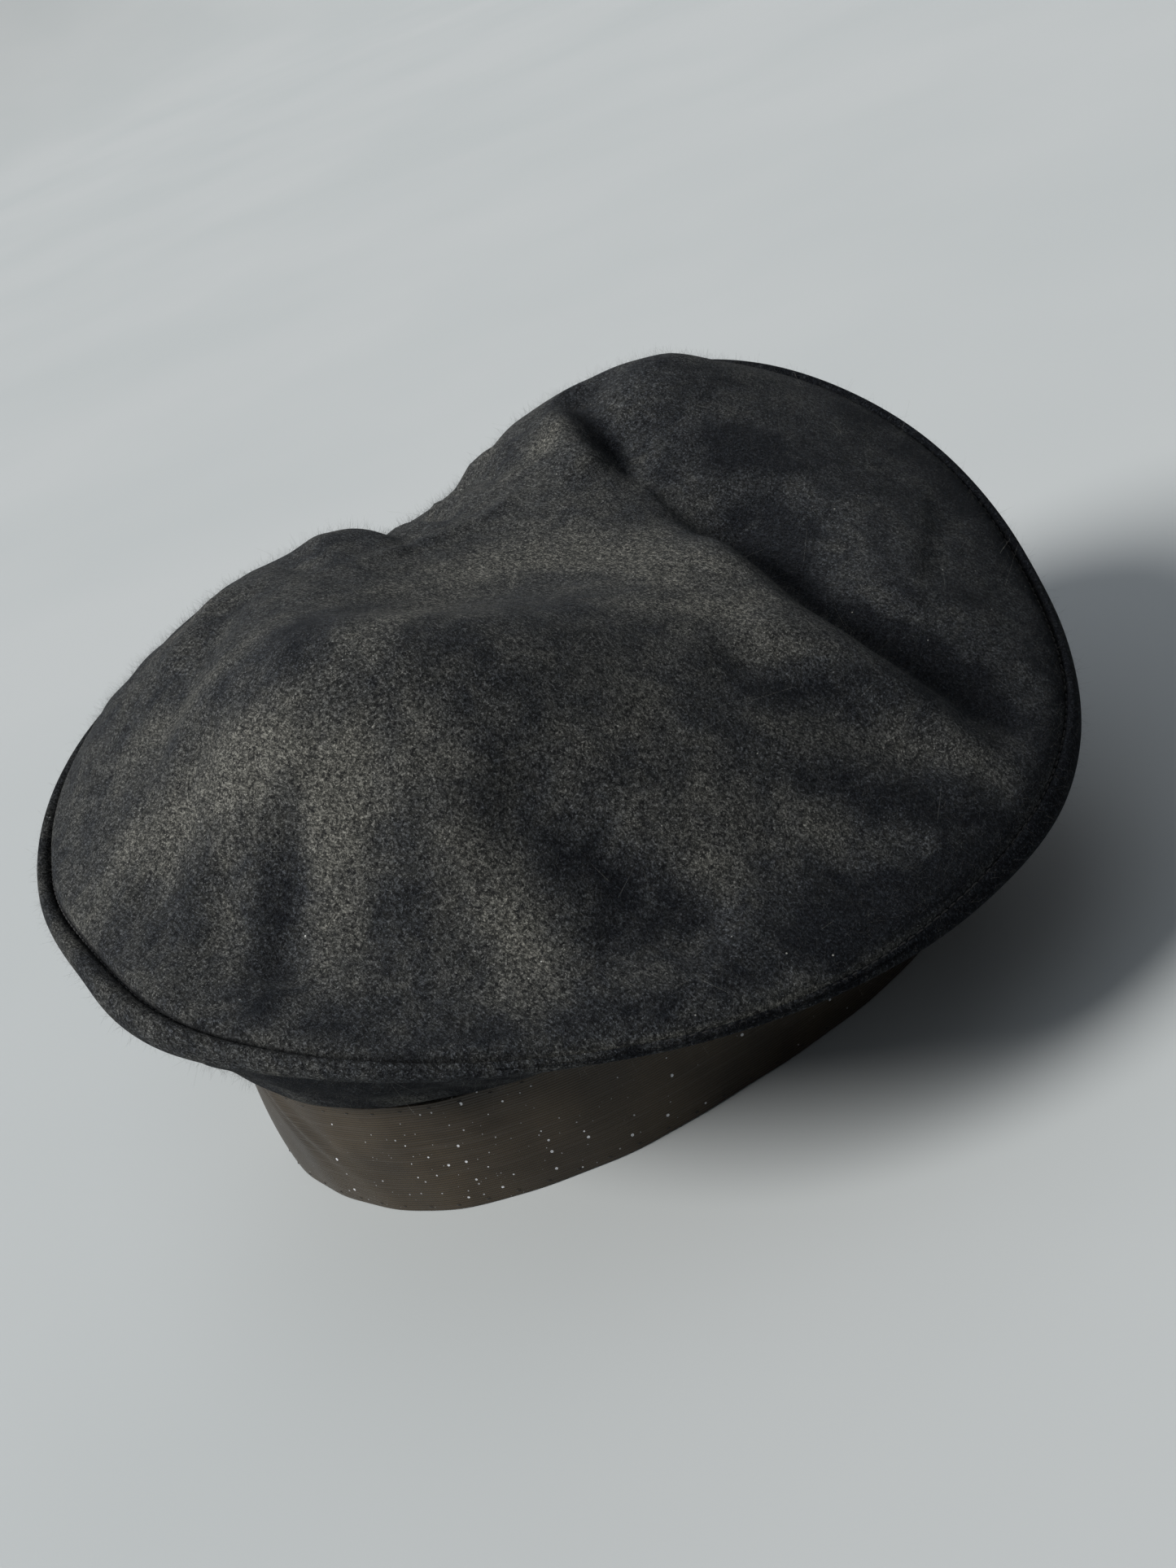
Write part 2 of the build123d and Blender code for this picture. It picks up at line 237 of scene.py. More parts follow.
def top_folds(x, y, rho, th, fine=1.0):
    """Height of the folds along the top panel's normal, in millimetres."""
    d = np.zeros(x.shape)
    # the valley between the dome and the standing lobe; the lobe lies to the left of the path's direction
    d += fold(x, y, VALLEY, 8.5, 17.0, 8.5, ((0, 0.30), (0.1, 0.45), (0.24, 1.0), (0.42, 0.95), (0.6, 0.7), (0.85, 0.45), (1, 0.12)), 1.8)
    d += fine * fold(x, y, VALLEY[1:], 2.6, 8.5, 4.4, ((0, 0.25), (0.14, 0.9), (0.3, 1.0), (0.5, 0.9), (0.8, 0.7), (1, 0.0)), 1.5)
    # the dome's crest stands up along the valley
    d += fold(x, y, [(-22, -45), (-36, -42), (-52, -37), (-68, -34), (-86, -36), (-102, -40)], -1.7, 7, 9)
    # the sharp dent at the head of the valley, a ridge of pushed-up cloth beside it
    d += fold(x, y, DENT, 8.0, 12.5, 4.0, ((0, 0), (0.14, 0.7), (0.4, 0.8), (0.68, 1.0), (0.86, 0.65), (1, 0.25)), 1.6)
    d += fold(x, y, [(50, -63), (41, -59), (32, -55.5), (23, -52), (14, -49)], -2.8, 5.0, 6.5)
    d += blob(x, y, 30, -74, 15, 2.2)
    # the lobe's swelling
    d += blob(x, y, -20, -84, 34, 3.2, 20, 8)
    d += blob(x, y, -66, -62, 26, 2.0, 13, 20)
    d += fold(x, y, LOBE_CREASE, 1.3, 6.0, 3.0, ((0, 0), (0.3, 1), (0.7, 1), (1, 0)), 1.6)
    d += fine * fold(x, y, SHOULDER, -1.3, 2.6, 3.4, ((0, 0), (0.25, 1), (0.75, 1), (1, 0)), 1.7)
    # second shallow channel beside the valley and its ridge
    d += fold(x, y, [(-62, -20), (-80, -27), (-96, -34), (-110, -40)], -1.8, 7, 7)
    d += fold(x, y, [(-66, -8), (-82, -16), (-97, -22), (-112, -28)], 2.0, 8, 8)
    # long soft hollow from the dome down to the near side
    d += fold(x, y, [(-60, 48), (-72, 49), (-84, 46), (-97, 42), (-110, 38)], 3.0, 10, 12)
    d += fold(x, y, [(-46, 70), (-60, 62), (-74, 60), (-92, 56)], -1.6, 9, 9)
    # hollows over the nape side
    d += fold(x, y, [(-27, 78), (-30, 88), (-36, 98), (-41, 108)], 2.2, 7, 8)
    d += fold(x, y, [(-12, 92), (-19, 102), (-24, 112)], 1.5, 6, 6)
    d += fold(x, y, [(10, 70), (9, 88), (6, 104), (3, 116)], 1.5, 8, 8)
    d += fold(x, y, [(56, 34), (44, 52), (36, 74), (32, 92)], 1.9, 8, 9)
    d += fold(x, y, [(68, 30), (60, 48), (54, 66)], -1.4, 7, 7)
    # the dome's far shoulder, and the pinch beyond it crossed by fine wrinkles that run back over the dome
    d += blob(x, y, 63, 3, 17, 4.2, 12, 0)
    d += blob(x, y, 86, 38, 14, -1.6)
    d += blob(x, y, 58, -28, 19, -3.6, 20, 0)
    wr = [([(74, -10), (60, -9), (46, -6), (32, -2), (18, 0)], 1.8, 3.0), ([(78, -18), (62, -17), (48, -16), (34, -14)], -2.0, 2.6),
          ([(80, -25), (64, -25), (50, -24), (35, -25)], 2.2, 2.6), ([(82, -33), (68, -33), (52, -33), (38, -35)], -2.2, 2.8),
          ([(84, -41), (70, -42), (56, -42), (42, -44)], 2.0, 2.6), ([(86, -50), (72, -52), (58, -53), (46, -55)], -1.9, 2.8),
          ([(70, 8), (56, 10), (40, 13), (22, 14)], -1.1, 3.4), ([(66, 18), (50, 22), (36, 25), (18, 24)], 1.1, 3.6)]
    for path, a, w in wr:
        d += (0.35 + 0.65 * fine) * fold(x, y, path, a, w, w * 1.2, ((0, 0.1), (0.2, 1), (0.55, 0.7), (1, 0)))
    # shallow puckers against the rim on the near right
    edge = soft(np.clip((rho - 0.80) / 0.14, 0, 1)) * (1 - soft(np.clip((rho - 0.955) / 0.04, 0, 1)))
    k = np.exp(-((np.degrees(th) - 198) / 26) ** 2)
    d += fine * 0.55 * edge * k * np.sin(th * 46 + 1.3 * np.sin(th * 7))
    k2 = 0.35 + 0.65 * np.exp(-((np.degrees(th) - 90) / 40) ** 2)
    d += fine * 0.28 * edge * k2 * np.sin(th * 31 + 2.0 * np.sin(th * 5))
    inner = 1 - soft(np.clip((rho - 0.86) / 0.12, 0, 1))
    d += 0.75 * inner * waves(x, y, 5, 30, 70, 9)
    d += fine * 0.22 * inner * waves(x, y, 8, 9, 22, 14)
    return d * (1 - 0.92 * soft(np.clip((rho - 0.93) / 0.065, 0, 1)))


def grid_normals(P, periodic=True):
    ds = np.gradient(P, axis=0)
    dt = np.roll(P, -1, 1) - np.roll(P, 1, 1)
    n = np.cross(ds, dt)
    return n / np.maximum(np.linalg.norm(n, axis=-1, keepdims=True), 1e-12)


def top_grid(rhos, nth, fine=1.0, sink=0.0):
    th = np.arange(nth) * 2 * np.pi / nth
    R, T = np.meshgrid(rhos, th, indexing="ij")
    rs = ring_value(SEAM_R, th)[None]
    r = R * (R_MEAN + (rs - R_MEAN) * R)
    P = np.stack([CROWN_X + r * np.cos(T), CROWN_Y + r * np.sin(T), top_height(R * np.cos(T), R * np.sin(T))], -1)
    N = grid_normals(P)
    if N[len(rhos) // 2, :, 2].mean() < 0:
        N = -N
    d = top_folds(P[..., 0], P[..., 1], R, T, fine)
    # the panel turns down into the groove of the rim seam, and rolls over the edge where the seam lies under it
    g = groove_share(th)[None]
    e = (1 - R) * R_MEAN
    d += (-1.25 * np.exp(-(e / 1.5) ** 1.6) + 0.35 * np.exp(-((e - 4.0) / 2.6) ** 2)) * g * (0.25 + 0.75 * seam_line_share(th)[None])
    P = P + (d - sink)[..., None] * N
    P[..., 2] += rim_dz(th)[None] * soft(np.clip((R - 0.55) / 0.35, 0, 1))
    P[..., 2] -= 2.6 * (1 - g) * np.clip(1 - e / 5.5, 0, 1) ** 2.2
    bulge = 0.9 * (1 - g) * np.exp(-((e - 1.2) / 1.8) ** 2)
    P[..., 0] += bulge * np.cos(T)
    P[..., 1] += bulge * np.sin(T)
    return P, R, T


def smooth_normals(P, passes=2):
    N = grid_normals(P)
    for _ in range(passes):
        N = (N + np.roll(N, 1, 1) + np.roll(N, -1, 1)) / 3
        N[1:-1] = (N[:-2] + N[1:-1] + N[2:]) / 3
        N /= np.maximum(np.linalg.norm(N, axis=-1, keepdims=True), 1e-12)
    return N


def flare(th, z):
    """The band swings out or in from its oval, most at its lower edge."""
    return round_table(FLARE, th, 6.0) * (0.35 + 0.65 * np.clip(1 - np.asarray(z, float) / 30.0, 0, 1) ** 0.8)


def oval(th, inset, z):
    i = inset - flare(th, z)
    return np.stack([HEAD_X + (BAND_A - i) * np.cos(th), HEAD_Y + (BAND_B - i) * np.sin(th),
                     np.full_like(th, z)], -1)


def under_grid(nth, per, inset=0.0):
    """Rim roll, under panel and its edge behind the ribbon, from the seam inwards."""
    th = np.arange(nth) * 2 * np.pi / nth
    e = np.stack([np.cos(th), np.sin(th), 0 * th], -1)
    c = np.array([CROWN_X, CROWN_Y, 0.0])
    rs, zs = ring_value(SEAM_R, th), ring_value(SEAM_Z, th) + rim_dz(th)

    def ring(dr, dz):
        return c + (rs + dr)[:, None] * e + np.stack([0 * th, 0 * th, zs + dz], -1)
    bt = oval(th, 1.1, BAND_H)
    k = roll_share(th)
    g = groove_share(th)
    dn = -2.6 * (1 - g)
    u1 = ring(0.6 * k - 2.2 * (1 - k), -11.8 * k - 1.6 * (1 - k) + dn)
    sag = (0.5 + 1.6 * k) + 0.5 * np.sin(3 * th + 0.6) + 0.4 * np.sin(5 * th + 2.0)
    s = np.stack([0 * th, 0 * th, -sag], -1)
    u2 = 0.70 * u1 + 0.30 * bt + 0.9 * s
    u3 = 0.40 * u1 + 0.60 * bt + s
    u3[:, 2] = np.maximum(u3[:, 2], BAND_H + 3.0)
    u2[:, 2] = np.maximum(u2[:, 2], BAND_H + 3.6)
    turn = oval(th, 1.1, BAND_H + 2.3)
    turn[:, :2] += 0.10 * (u1 - bt)[:, :2]
    corner = oval(th, 0.8, BAND_H + 0.7)
    wob = 0.45 * np.sin(9 * th + 1.0) + 0.35 * np.sin(14 * th + 0.4) + 0.25 * np.sin(23 * th)
    q = 0.35 + 0.65 * k
    rings = [ring(-0.25 + 0 * th, -1.7 + dn), ring(0.35 * q, -0.85 - 0.3 * (1 - g) + dn), ring(1.5 * k, -0.15 * g - 0.5 * (1 - g) + dn),
             ring(3.4 * k, (0.10 + 0.15 * wob) * k - 0.7 * (1 - g) + dn), ring(4.9 * k + 0.12 * wob, -1.9 * k - 0.9 * (1 - g) + dn),
             ring(ROLL * k + 0.2 * wob, -4.6 * k - 1.0 * (1 - g) + dn), ring(5.2 * k + 0.3 * wob * k, -7.4 * k - 1.1 * (1 - g) + dn),
             ring(3.6 * k + 0.3 * wob * k - 1.0 * (1 - k), -10.0 * k - 1.3 * (1 - k) + dn),
             u1, u2, u3, turn, corner, oval(th, 1.1, BAND_H - 2.5), oval(th, 1.1, 20.5)]
    K = np.array(rings)
    ln = np.r_[0, np.cumsum(np.linalg.norm(np.diff(K, axis=0), axis=-1).mean(1))]
    x = np.unique(np.concatenate([np.linspace(ln[i], ln[i + 1], n + 1) for i, n in enumerate(per)]))
    M = spline_matrix(ln, x)
    P = np.einsum("ij,jkl->ikl", M, K)
    # soft radial unevenness of the under panel
    t = x / ln[-1]
    a = np.exp(-((x - 0.5 * (ln[8] + ln[11])) / (0.33 * (ln[11] - ln[8]))) ** 2)
    N = smooth_normals(P, 1)
    d = a[:, None] * (0.8 * np.sin(11 * th + 3 * t[:, None]) * np.sin(2 * th + 1) + 0.45 * np.sin(23 * th + 1.7 + 4 * t[:, None]))
    return P + d[..., None] * N, x, ln


# ---------------------------------------------------------------- mesh helpers
def new_mesh(name, verts, faces, smooth=True):
    me = bpy.data.meshes.new(name)
    me.from_pydata([tuple(v) for v in verts], [], faces)
    me.update()
    if smooth:
        me.polygons.foreach_set("use_smooth", np.ones(len(me.polygons), bool))
    ob = bpy.data.objects.new(name, me)
    scene.collection.objects.link(ob)
    return ob


def chain(name, rings, pole0=None, pole1=None, closed=False, mat=None):
    """Mesh through rings of equal length, given in millimetres, closed at poles or onto itself; faces point outwards."""
    K, N = len(rings), len(rings[0])
    verts = np.concatenate([np.asarray(r) for r in rings]) * MM
    faces = []
    i = np.arange(N)
    j = (i + 1) % N
    pairs = [(k, k + 1) for k in range(K - 1)] + ([(K - 1, 0)] if closed else [])
    for a, b in pairs:
        faces += np.stack([a * N + i, a * N + j, b * N + j, b * N + i], -1).tolist()
    extra = []
    if pole0 is not None:
        extra.append(np.asarray(pole0) * MM)
        p = len(verts) + len(extra) - 1
        faces += [(p, int(b), int(a)) for a, b in zip(i, j)]
    if pole1 is not None:
        extra.append(np.asarray(pole1) * MM)
        p = len(verts) + len(extra) - 1
        o = (K - 1) * N
        faces += [(p, int(o + a), int(o + b)) for a, b in zip(i, j)]
    if extra:
        verts = np.concatenate([verts, np.array(extra)])
    if closed or (pole0 is not None and pole1 is not None):
        vol = 0.0
        for f in faces[::7]:
            a, b, c = verts[f[0]], verts[f[1]], verts[f[2]]
            vol += np.dot(a, np.cross(b, c))
        q = np.array([f[:3] for f in faces])
        A, B, C = verts[q[:, 0]], verts[q[:, 1]], verts[q[:, 2]]
        vol = (A * np.cross(B, C)).sum()
        q4 = np.array([f for f in faces if len(f) == 4])
        if len(q4):
            A, B, C = verts[q4[:, 0]], verts[q4[:, 2]], verts[q4[:, 3]]
            vol += (A * np.cross(B, C)).sum()
        if vol < 0:
            faces = [tuple(reversed(f)) for f in faces]
    ob = new_mesh(name, verts, faces)
    if mat:
        ob.data.materials.append(mat)
    return ob


def attribute(ob, name, values):
    a = ob.data.attributes.new(name, "FLOAT", "POINT")
    a.data.foreach_set("value", np.asarray(values, np.float32))


def uvs(ob, uv):
    """Per-vertex UVs (millimetres along and across the cloth, scaled) put on the mesh's corners."""
    layer = ob.data.uv_layers.new(name="cloth")
    idx = np.zeros(len(ob.data.loops), np.int32)
    ob.data.loops.foreach_get("vertex_index", idx)
    layer.data.foreach_set("uv", np.asarray(uv, np.float32)[idx].ravel())


# ---------------------------------------------------------------- material helpers
class Nodes:
    def __init__(self, name):
        self.mat = bpy.data.materials.new(name)
        self.mat.use_nodes = True
        self.t = self.mat.node_tree
        self.t.nodes.clear()
        self.out = self.t.nodes.new("ShaderNodeOutputMaterial")
        self.bsdf = self.t.nodes.new("ShaderNodeBsdfPrincipled")
        self.t.links.new(self.bsdf.outputs[0], self.out.inputs[0])
        self.obj = self.t.nodes.new("ShaderNodeTexCoord").outputs["Object"]

    def set(self, **kw):
        for k, v in kw.items():
            self.bsdf.inputs[k.replace("_", " ")].default_value = v

    def put(self, socket, key):
        self.t.links.new(socket, self.bsdf.inputs[key])

    def _in(self, node, key, v):
        if v is None:
            return
        if isinstance(v, bpy.types.NodeSocket):
            self.t.links.new(v, node.inputs[key])
        else:
            node.inputs[key].default_value = v

    def noise(self, scale, detail=4.0, rough=0.55, distort=0.0, vec=None, out="Fac"):
        n = self.t.nodes.new("ShaderNodeTexNoise")
        self._in(n, "Vector", vec or self.obj)
        n.inputs["Scale"].default_value = scale
        n.inputs["Detail"].default_value = detail
        n.inputs["Roughness"].default_value = rough
        n.inputs["Distortion"].default_value = distort
        return n.outputs[out]

    def voronoi(self, scale, vec=None, feature="F1", out="Distance", rand=1.0):
        n = self.t.nodes.new("ShaderNodeTexVoronoi")
        n.feature = feature
        self._in(n, "Vector", vec or self.obj)
        n.inputs["Scale"].default_value = scale
        n.inputs["Randomness"].default_value = rand
        return n.outputs[out]

    def cells(self, scale, size, chance, vec=None, flat=False):
        """Small dots: one in each cell that draws a number under chance; size in cells, which varies from dot to dot."""
        n = self.t.nodes.new("ShaderNodeTexVoronoi")
        if flat:
            n.voronoi_dimensions = "2D"
        self._in(n, "Vector", vec or self.obj)
        n.inputs["Scale"].default_value = scale
        rgb = self.split(n.outputs["Color"])
        on = self.math("LESS_THAN", rgb[0], chance)
        edge = self.math("MULTIPLY_ADD", rgb[1], size * 0.7, size * 0.45)
        dot = self.math("SUBTRACT", edge, n.outputs["Distance"])
        return self.math("MULTIPLY", on, self.rng(dot, 0.0, size * 0.25, 0, 1))

    def mapping(self, vec=None, scale=(1, 1, 1), rot=(0, 0, 0), loc=(0, 0, 0)):
        n = self.t.nodes.new("ShaderNodeMapping")
        self._in(n, "Vector", vec or self.obj)
        n.inputs["Scale"].default_value = scale
        n.inputs["Rotation"].default_value = rot
        n.inputs["Location"].default_value = loc
        return n.outputs[0]

    def ramp(self, fac, stops):
        n = self.t.nodes.new("ShaderNodeValToRGB")
        self._in(n, "Fac", fac)
        while len(n.color_ramp.elements) < len(stops):
            n.color_ramp.elements.new(0.5)
        for el, (p, c) in zip(n.color_ramp.elements, stops):
            el.position = p
            el.color = (c, c, c, 1) if not hasattr(c, "__len__") else (*c, 1)
        return n.outputs["Color"]

    def rng(self, fac, a, b, c=0.0, d=1.0):
        n = self.t.nodes.new("ShaderNodeMapRange")
        self._in(n, "Value", fac)
        for k, v in (("From Min", a), ("From Max", b), ("To Min", c), ("To Max", d)):
            n.inputs[k].default_value = v
        return n.outputs[0]

    def math(self, op, a, b=None, c=None, clamp=False):
        n = self.t.nodes.new("ShaderNodeMath")
        n.operation = op
        n.use_clamp = clamp
        for i, v in enumerate((a, b, c)):
            if v is not None:
                self._in(n, i, v)
        return n.outputs[0]

    def mix(self, fac, a, b, kind="MIX"):
        n = self.t.nodes.new("ShaderNodeMix")
        n.data_type = "RGBA"
        n.blend_type = kind
        self._in(n, 0, fac)
        for k, v in ((6, a), (7, b)):
            if isinstance(v, bpy.types.NodeSocket):
                self.t.links.new(v, n.inputs[k])
            else:
                n.inputs[k].default_value = (*v, 1) if len(v) == 3 else v
        return n.outputs[2]

    def attr(self, name):
        n = self.t.nodes.new("ShaderNodeAttribute")
        n.attribute_name = name
        return n.outputs["Fac"]

    def uv(self):
        n = self.t.nodes.new("ShaderNodeUVMap")
        n.uv_map = "cloth"
        return n.outputs[0]

    def split(self, vec):
        n = self.t.nodes.new("ShaderNodeSeparateXYZ")
        self._in(n, 0, vec)
        return n.outputs

    def bump(self, height, strength, dist, normal=None):
        n = self.t.nodes.new("ShaderNodeBump")
        self._in(n, "Height", height)
        n.inputs["Strength"].default_value = strength
        n.inputs["Distance"].default_value = dist
        if normal is not None:
            self.t.links.new(normal, n.inputs["Normal"])
        return n.outputs[0]


def wool_material(name="wool_melton", sheen=0.05):
    m = Nodes(name)
    wear_and_painted_light = m.attr("wear_and_painted_light")
    seam = m.attr("seam")
    # large clouding of the nap; the attribute adds worn and dusty places, painted shade in the valley, the dent, the
    # folds' hollows and on the side away from the key light, and painted highlights along turned edges
    big = m.noise(26, 4, 0.6, 0.8)
    mid = m.noise(95, 5, 0.68, 0.5)
    cloud = m.math("ADD", m.math("MULTIPLY", big, 0.26), m.math("MULTIPLY", mid, 0.72))
    cloud = m.math("ADD", cloud, m.math("MULTIPLY_ADD", wear_and_painted_light, 0.72, -0.30))
    patch = m.rng(cloud, 0.30, 0.80)
    # felted fibre: short strokes lying three ways, over a fine salt and pepper
    strokes = []
    for k, (rx, rz) in enumerate(((0.0, 0.4), (0.9, 1.5), (1.9, 2.6))):
        v = m.mapping(rot=(rx, 0.7 * k, rz), scale=(1.0, 4.2, 4.2), loc=(k * 3.1, 0, 0))
        strokes.append(m.rng(m.noise(450, 3, 0.62, 0.5, vec=v), 0.53, 0.72))
    fib = m.math("MAXIMUM", strokes[0], m.math("MAXIMUM", strokes[1], strokes[2]))
    grain = m.noise(1650, 3, 0.75)
    felt = m.noise(780, 5, 0.75)
    # from a dark, bluish colour to a warm dusty one; where the attribute holds painted shade, the bluish dark stands in
    # for cool shade
    col = m.mix(patch, (0.0034, 0.0042, 0.0058), (0.044, 0.0438, 0.0392))
    light = m.ramp(patch, ((0.0, (0.036, 0.041, 0.050)), (0.28, (0.104, 0.112, 0.124)), (1.0, (0.305, 0.298, 0.266))))
    col = m.mix(m.math("MULTIPLY", fib, m.rng(cloud, 0.3, 0.8, 0.55, 0.95)), col, light)
    col = m.mix(m.rng(felt, 0.40, 0.58, 0.80, 0.0), col, (0.0026, 0.0028, 0.0038))
    col = m.mix(m.rng(grain, 0.545, 0.68, 0.0, 0.95), col, light)
    # painted shade: the seam attribute takes the colour almost to black in the groove of the rim seam, on the panel's
    # turned lip and in the strip under the rim
    col = m.mix(m.math("MULTIPLY", seam, 0.92), col, (0.0012, 0.0013, 0.0016))
    # lint and dust
    for sc, size, ch, c in ((70, 0.030, 0.10, (0.70, 0.72, 0.74)), (210, 0.055, 0.045, (0.50, 0.50, 0.48)), (420, 0.09, 0.05, (0.32, 0.32, 0.30))):
        col = m.mix(m.cells(sc, size, ch), col, c)
    m.put(col, "Base Color")
    m.put(m.rng(felt, 0.3, 0.7, 0.99, 0.86), "Roughness")
    m.set(Specular_IOR_Level=0.05, Sheen_Weight=sheen, Sheen_Roughness=0.5, Sheen_Tint=(0.80, 0.84, 0.90, 1))
    h = m.math("ADD", m.math("MULTIPLY", felt, 0.6), m.math("MULTIPLY", fib, 0.35))
    h = m.math("ADD", h, m.math("MULTIPLY", grain, 0.35))
    n1 = m.bump(m.noise(120, 5, 0.62, 0.3), 0.6, 0.0012)
    n2 = m.bump(h, 1.0, 0.00060, n1)
    m.put(n2, "Normal")
    return m.mat


def ribbon_material(name="ribbon", base=(0.0290, 0.0212, 0.0126), light=(0.062, 0.0465, 0.0290), pitch=0.00062, specks=True, gloss=0.40):
    m = Nodes(name)
    uv = m.uv()
    u, v = m.split(uv)[0], m.split(uv)[1]
    # ribs run along the ribbon: v is metres across it
    wob = m.math("MULTIPLY", m.math("SUBTRACT", m.noise(60, 3, 0.5), 0.5), 0.00025)
    ph = m.math("MULTIPLY", m.math("ADD", v, wob), 2 * math.pi / pitch)
    rib = m.math("MULTIPLY_ADD", m.math("SINE", ph), 0.5, 0.5)
    # warp threads crossing the ribs
    cross = m.math("MULTIPLY_ADD", m.math("SINE", m.math("MULTIPLY", u, 2 * math.pi / 0.00042)), 0.5, 0.5)
    cloud = m.noise(38, 4, 0.55, 0.4)
    col = m.mix(m.rng(cloud, 0.36, 0.66), base, light)
    col = m.mix(m.math("MULTIPLY", m.math("SUBTRACT", 1.0, rib), 0.55), col, (0.006, 0.005, 0.0045))
    streak = m.noise(1.0, 3, 0.6, vec=m.mapping(uv, scale=(22, 1500, 1)))
    col = m.mix(m.rng(streak, 0.52, 0.72, 0.0, 0.35), col, (0.075, 0.066, 0.058))
    if specks:
        near = m.attr("dust")
        for sc, size, ch, c in ((215, 0.082, 0.34, (0.58, 0.59, 0.62)), (330, 0.075, 0.24, (0.30, 0.30, 0.31)), (700, 0.10, 0.06, (0.16, 0.16, 0.16))):
            col = m.mix(m.cells(sc, size, m.math("MULTIPLY", near, ch), uv, True), col, c)
    m.put(col, "Base Color")
    m.put(m.rng(cloud, 0.3, 0.7, gloss - 0.05, gloss + 0.12), "Roughness")
    m.set(Specular_IOR_Level=0.30, Sheen_Weight=0.08, Sheen_Roughness=0.35, Sheen_Tint=(0.85, 0.80, 0.76, 1), Anisotropic=0.45)
    h = m.math("ADD", m.math("MULTIPLY", rib, 0.8), m.math("MULTIPLY", cross, 0.25))
    n1 = m.bump(m.noise(55, 3, 0.5), 0.35, 0.0008)
    m.put(m.bump(h, 0.6, 0.00012, n1), "Normal")
    return m.mat


def satin_material(name, base, light, rough=0.36, twill=0.00045):
    m = Nodes(name)
    u, v = m.split(m.uv())[0], m.split(m.uv())[1]
    d = m.math("SINE", m.math("MULTIPLY", m.math("ADD", u, v), 2 * math.pi / twill))
    d2 = m.math("SINE", m.math("MULTIPLY", m.math("SUBTRACT", u, v), 2 * math.pi / (twill * 4)))
    w = m.math("MULTIPLY_ADD", d, 0.5, 0.5)
    cloud = m.noise(30, 4, 0.5, 0.5)
    col = m.mix(m.rng(cloud, 0.35, 0.68), base, light)
    col = m.mix(m.math("MULTIPLY", w, 0.25), col, tuple(min(1, 2.2 * c) for c in light))
    m.put(col, "Base Color")
    m.put(m.rng(cloud, 0.3, 0.7, rough, rough + 0.12), "Roughness")
    m.set(Specular_IOR_Level=0.5, Sheen_Weight=0.15, Sheen_Roughness=0.3)
    n1 = m.bump(m.noise(90, 4, 0.55, 0.3), 0.5, 0.0007)
    m.put(m.bump(m.math("MULTIPLY_ADD", d2, 0.15, w), 0.4, 0.00008, n1), "Normal")
    return m.mat


def thread_material(name, base, light):
    m = Nodes(name)
    ply = m.noise(900, 2, 0.5, vec=m.mapping(rot=(0.3, 0.9, 0.6), scale=(1, 4, 1)))
    m.put(m.mix(m.rng(ply, 0.4, 0.62), base, light), "Base Color")
    m.put(m.rng(ply, 0.3, 0.7, 0.62, 0.8), "Roughness")
    m.set(Specular_IOR_Level=0.3, Sheen_Weight=0.2)
    m.put(m.bump(ply, 0.6, 0.0001), "Normal")
    return m.mat


def weave_material(name, base, light, pitch=0.0009, rough=0.85):
    m = Nodes(name)
    u, v = m.split(m.uv())[0], m.split(m.uv())[1]
    a = m.math("MULTIPLY_ADD", m.math("SINE", m.math("MULTIPLY", u, 2 * math.pi / pitch)), 0.5, 0.5)
    b = m.math("MULTIPLY_ADD", m.math("SINE", m.math("MULTIPLY", v, 2 * math.pi / pitch)), 0.5, 0.5)
    w = m.math("MAXIMUM", a, b)
    cloud = m.noise(60, 4, 0.55)
    col = m.mix(m.rng(cloud, 0.35, 0.68), base, light)
    col = m.mix(m.math("MULTIPLY", m.math("SUBTRACT", 1.0, w), 0.6), col, tuple(0.35 * c for c in base))
    m.put(col, "Base Color")
    m.put(m.rng(w, 0.0, 1.0, min(1.0, rough + 0.1), rough), "Roughness")
    m.set(Specular_IOR_Level=0.2)
    m.put(m.bump(w, 0.6, 0.00015), "Normal")
    return m.mat


WOOL = wool_material()
WOOL_UNDER = wool_material("wool_melton_under", 0.012)
RIBBON = ribbon_material()
SWEAT = ribbon_material("sweatband_petersham", (0.012, 0.0115, 0.012), (0.026, 0.025, 0.025), 0.0011, False, 0.50)
LINING = satin_material("lining_satin", (0.010, 0.010, 0.012), (0.024, 0.024, 0.027))
THREAD = thread_material("thread_black", (0.005, 0.005, 0.006), (0.014, 0.014, 0.015))
CANVAS = weave_material("canvas", (0.26, 0.24, 0.19), (0.36, 0.34, 0.28))
TAPE = weave_material("twill_tape", (0.014, 0.014, 0.015), (0.028, 0.028, 0.029), 0.0007)
BUCKRAM = weave_material("buckram", (0.33, 0.31, 0.25), (0.46, 0.43, 0.36), 0.0016)
LABEL = satin_material("label_woven", (0.58, 0.55, 0.47), (0.70, 0.67, 0.58), 0.45, 0.0006)
LABEL_THREAD = thread_material("label_thread", (0.42, 0.39, 0.32), (0.55, 0.52, 0.44))


def ready(ob, node):
    nodes = node if isinstance(node, (list, tuple)) else [node]
    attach(ob, "root")
    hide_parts(*nodes)
    return ob


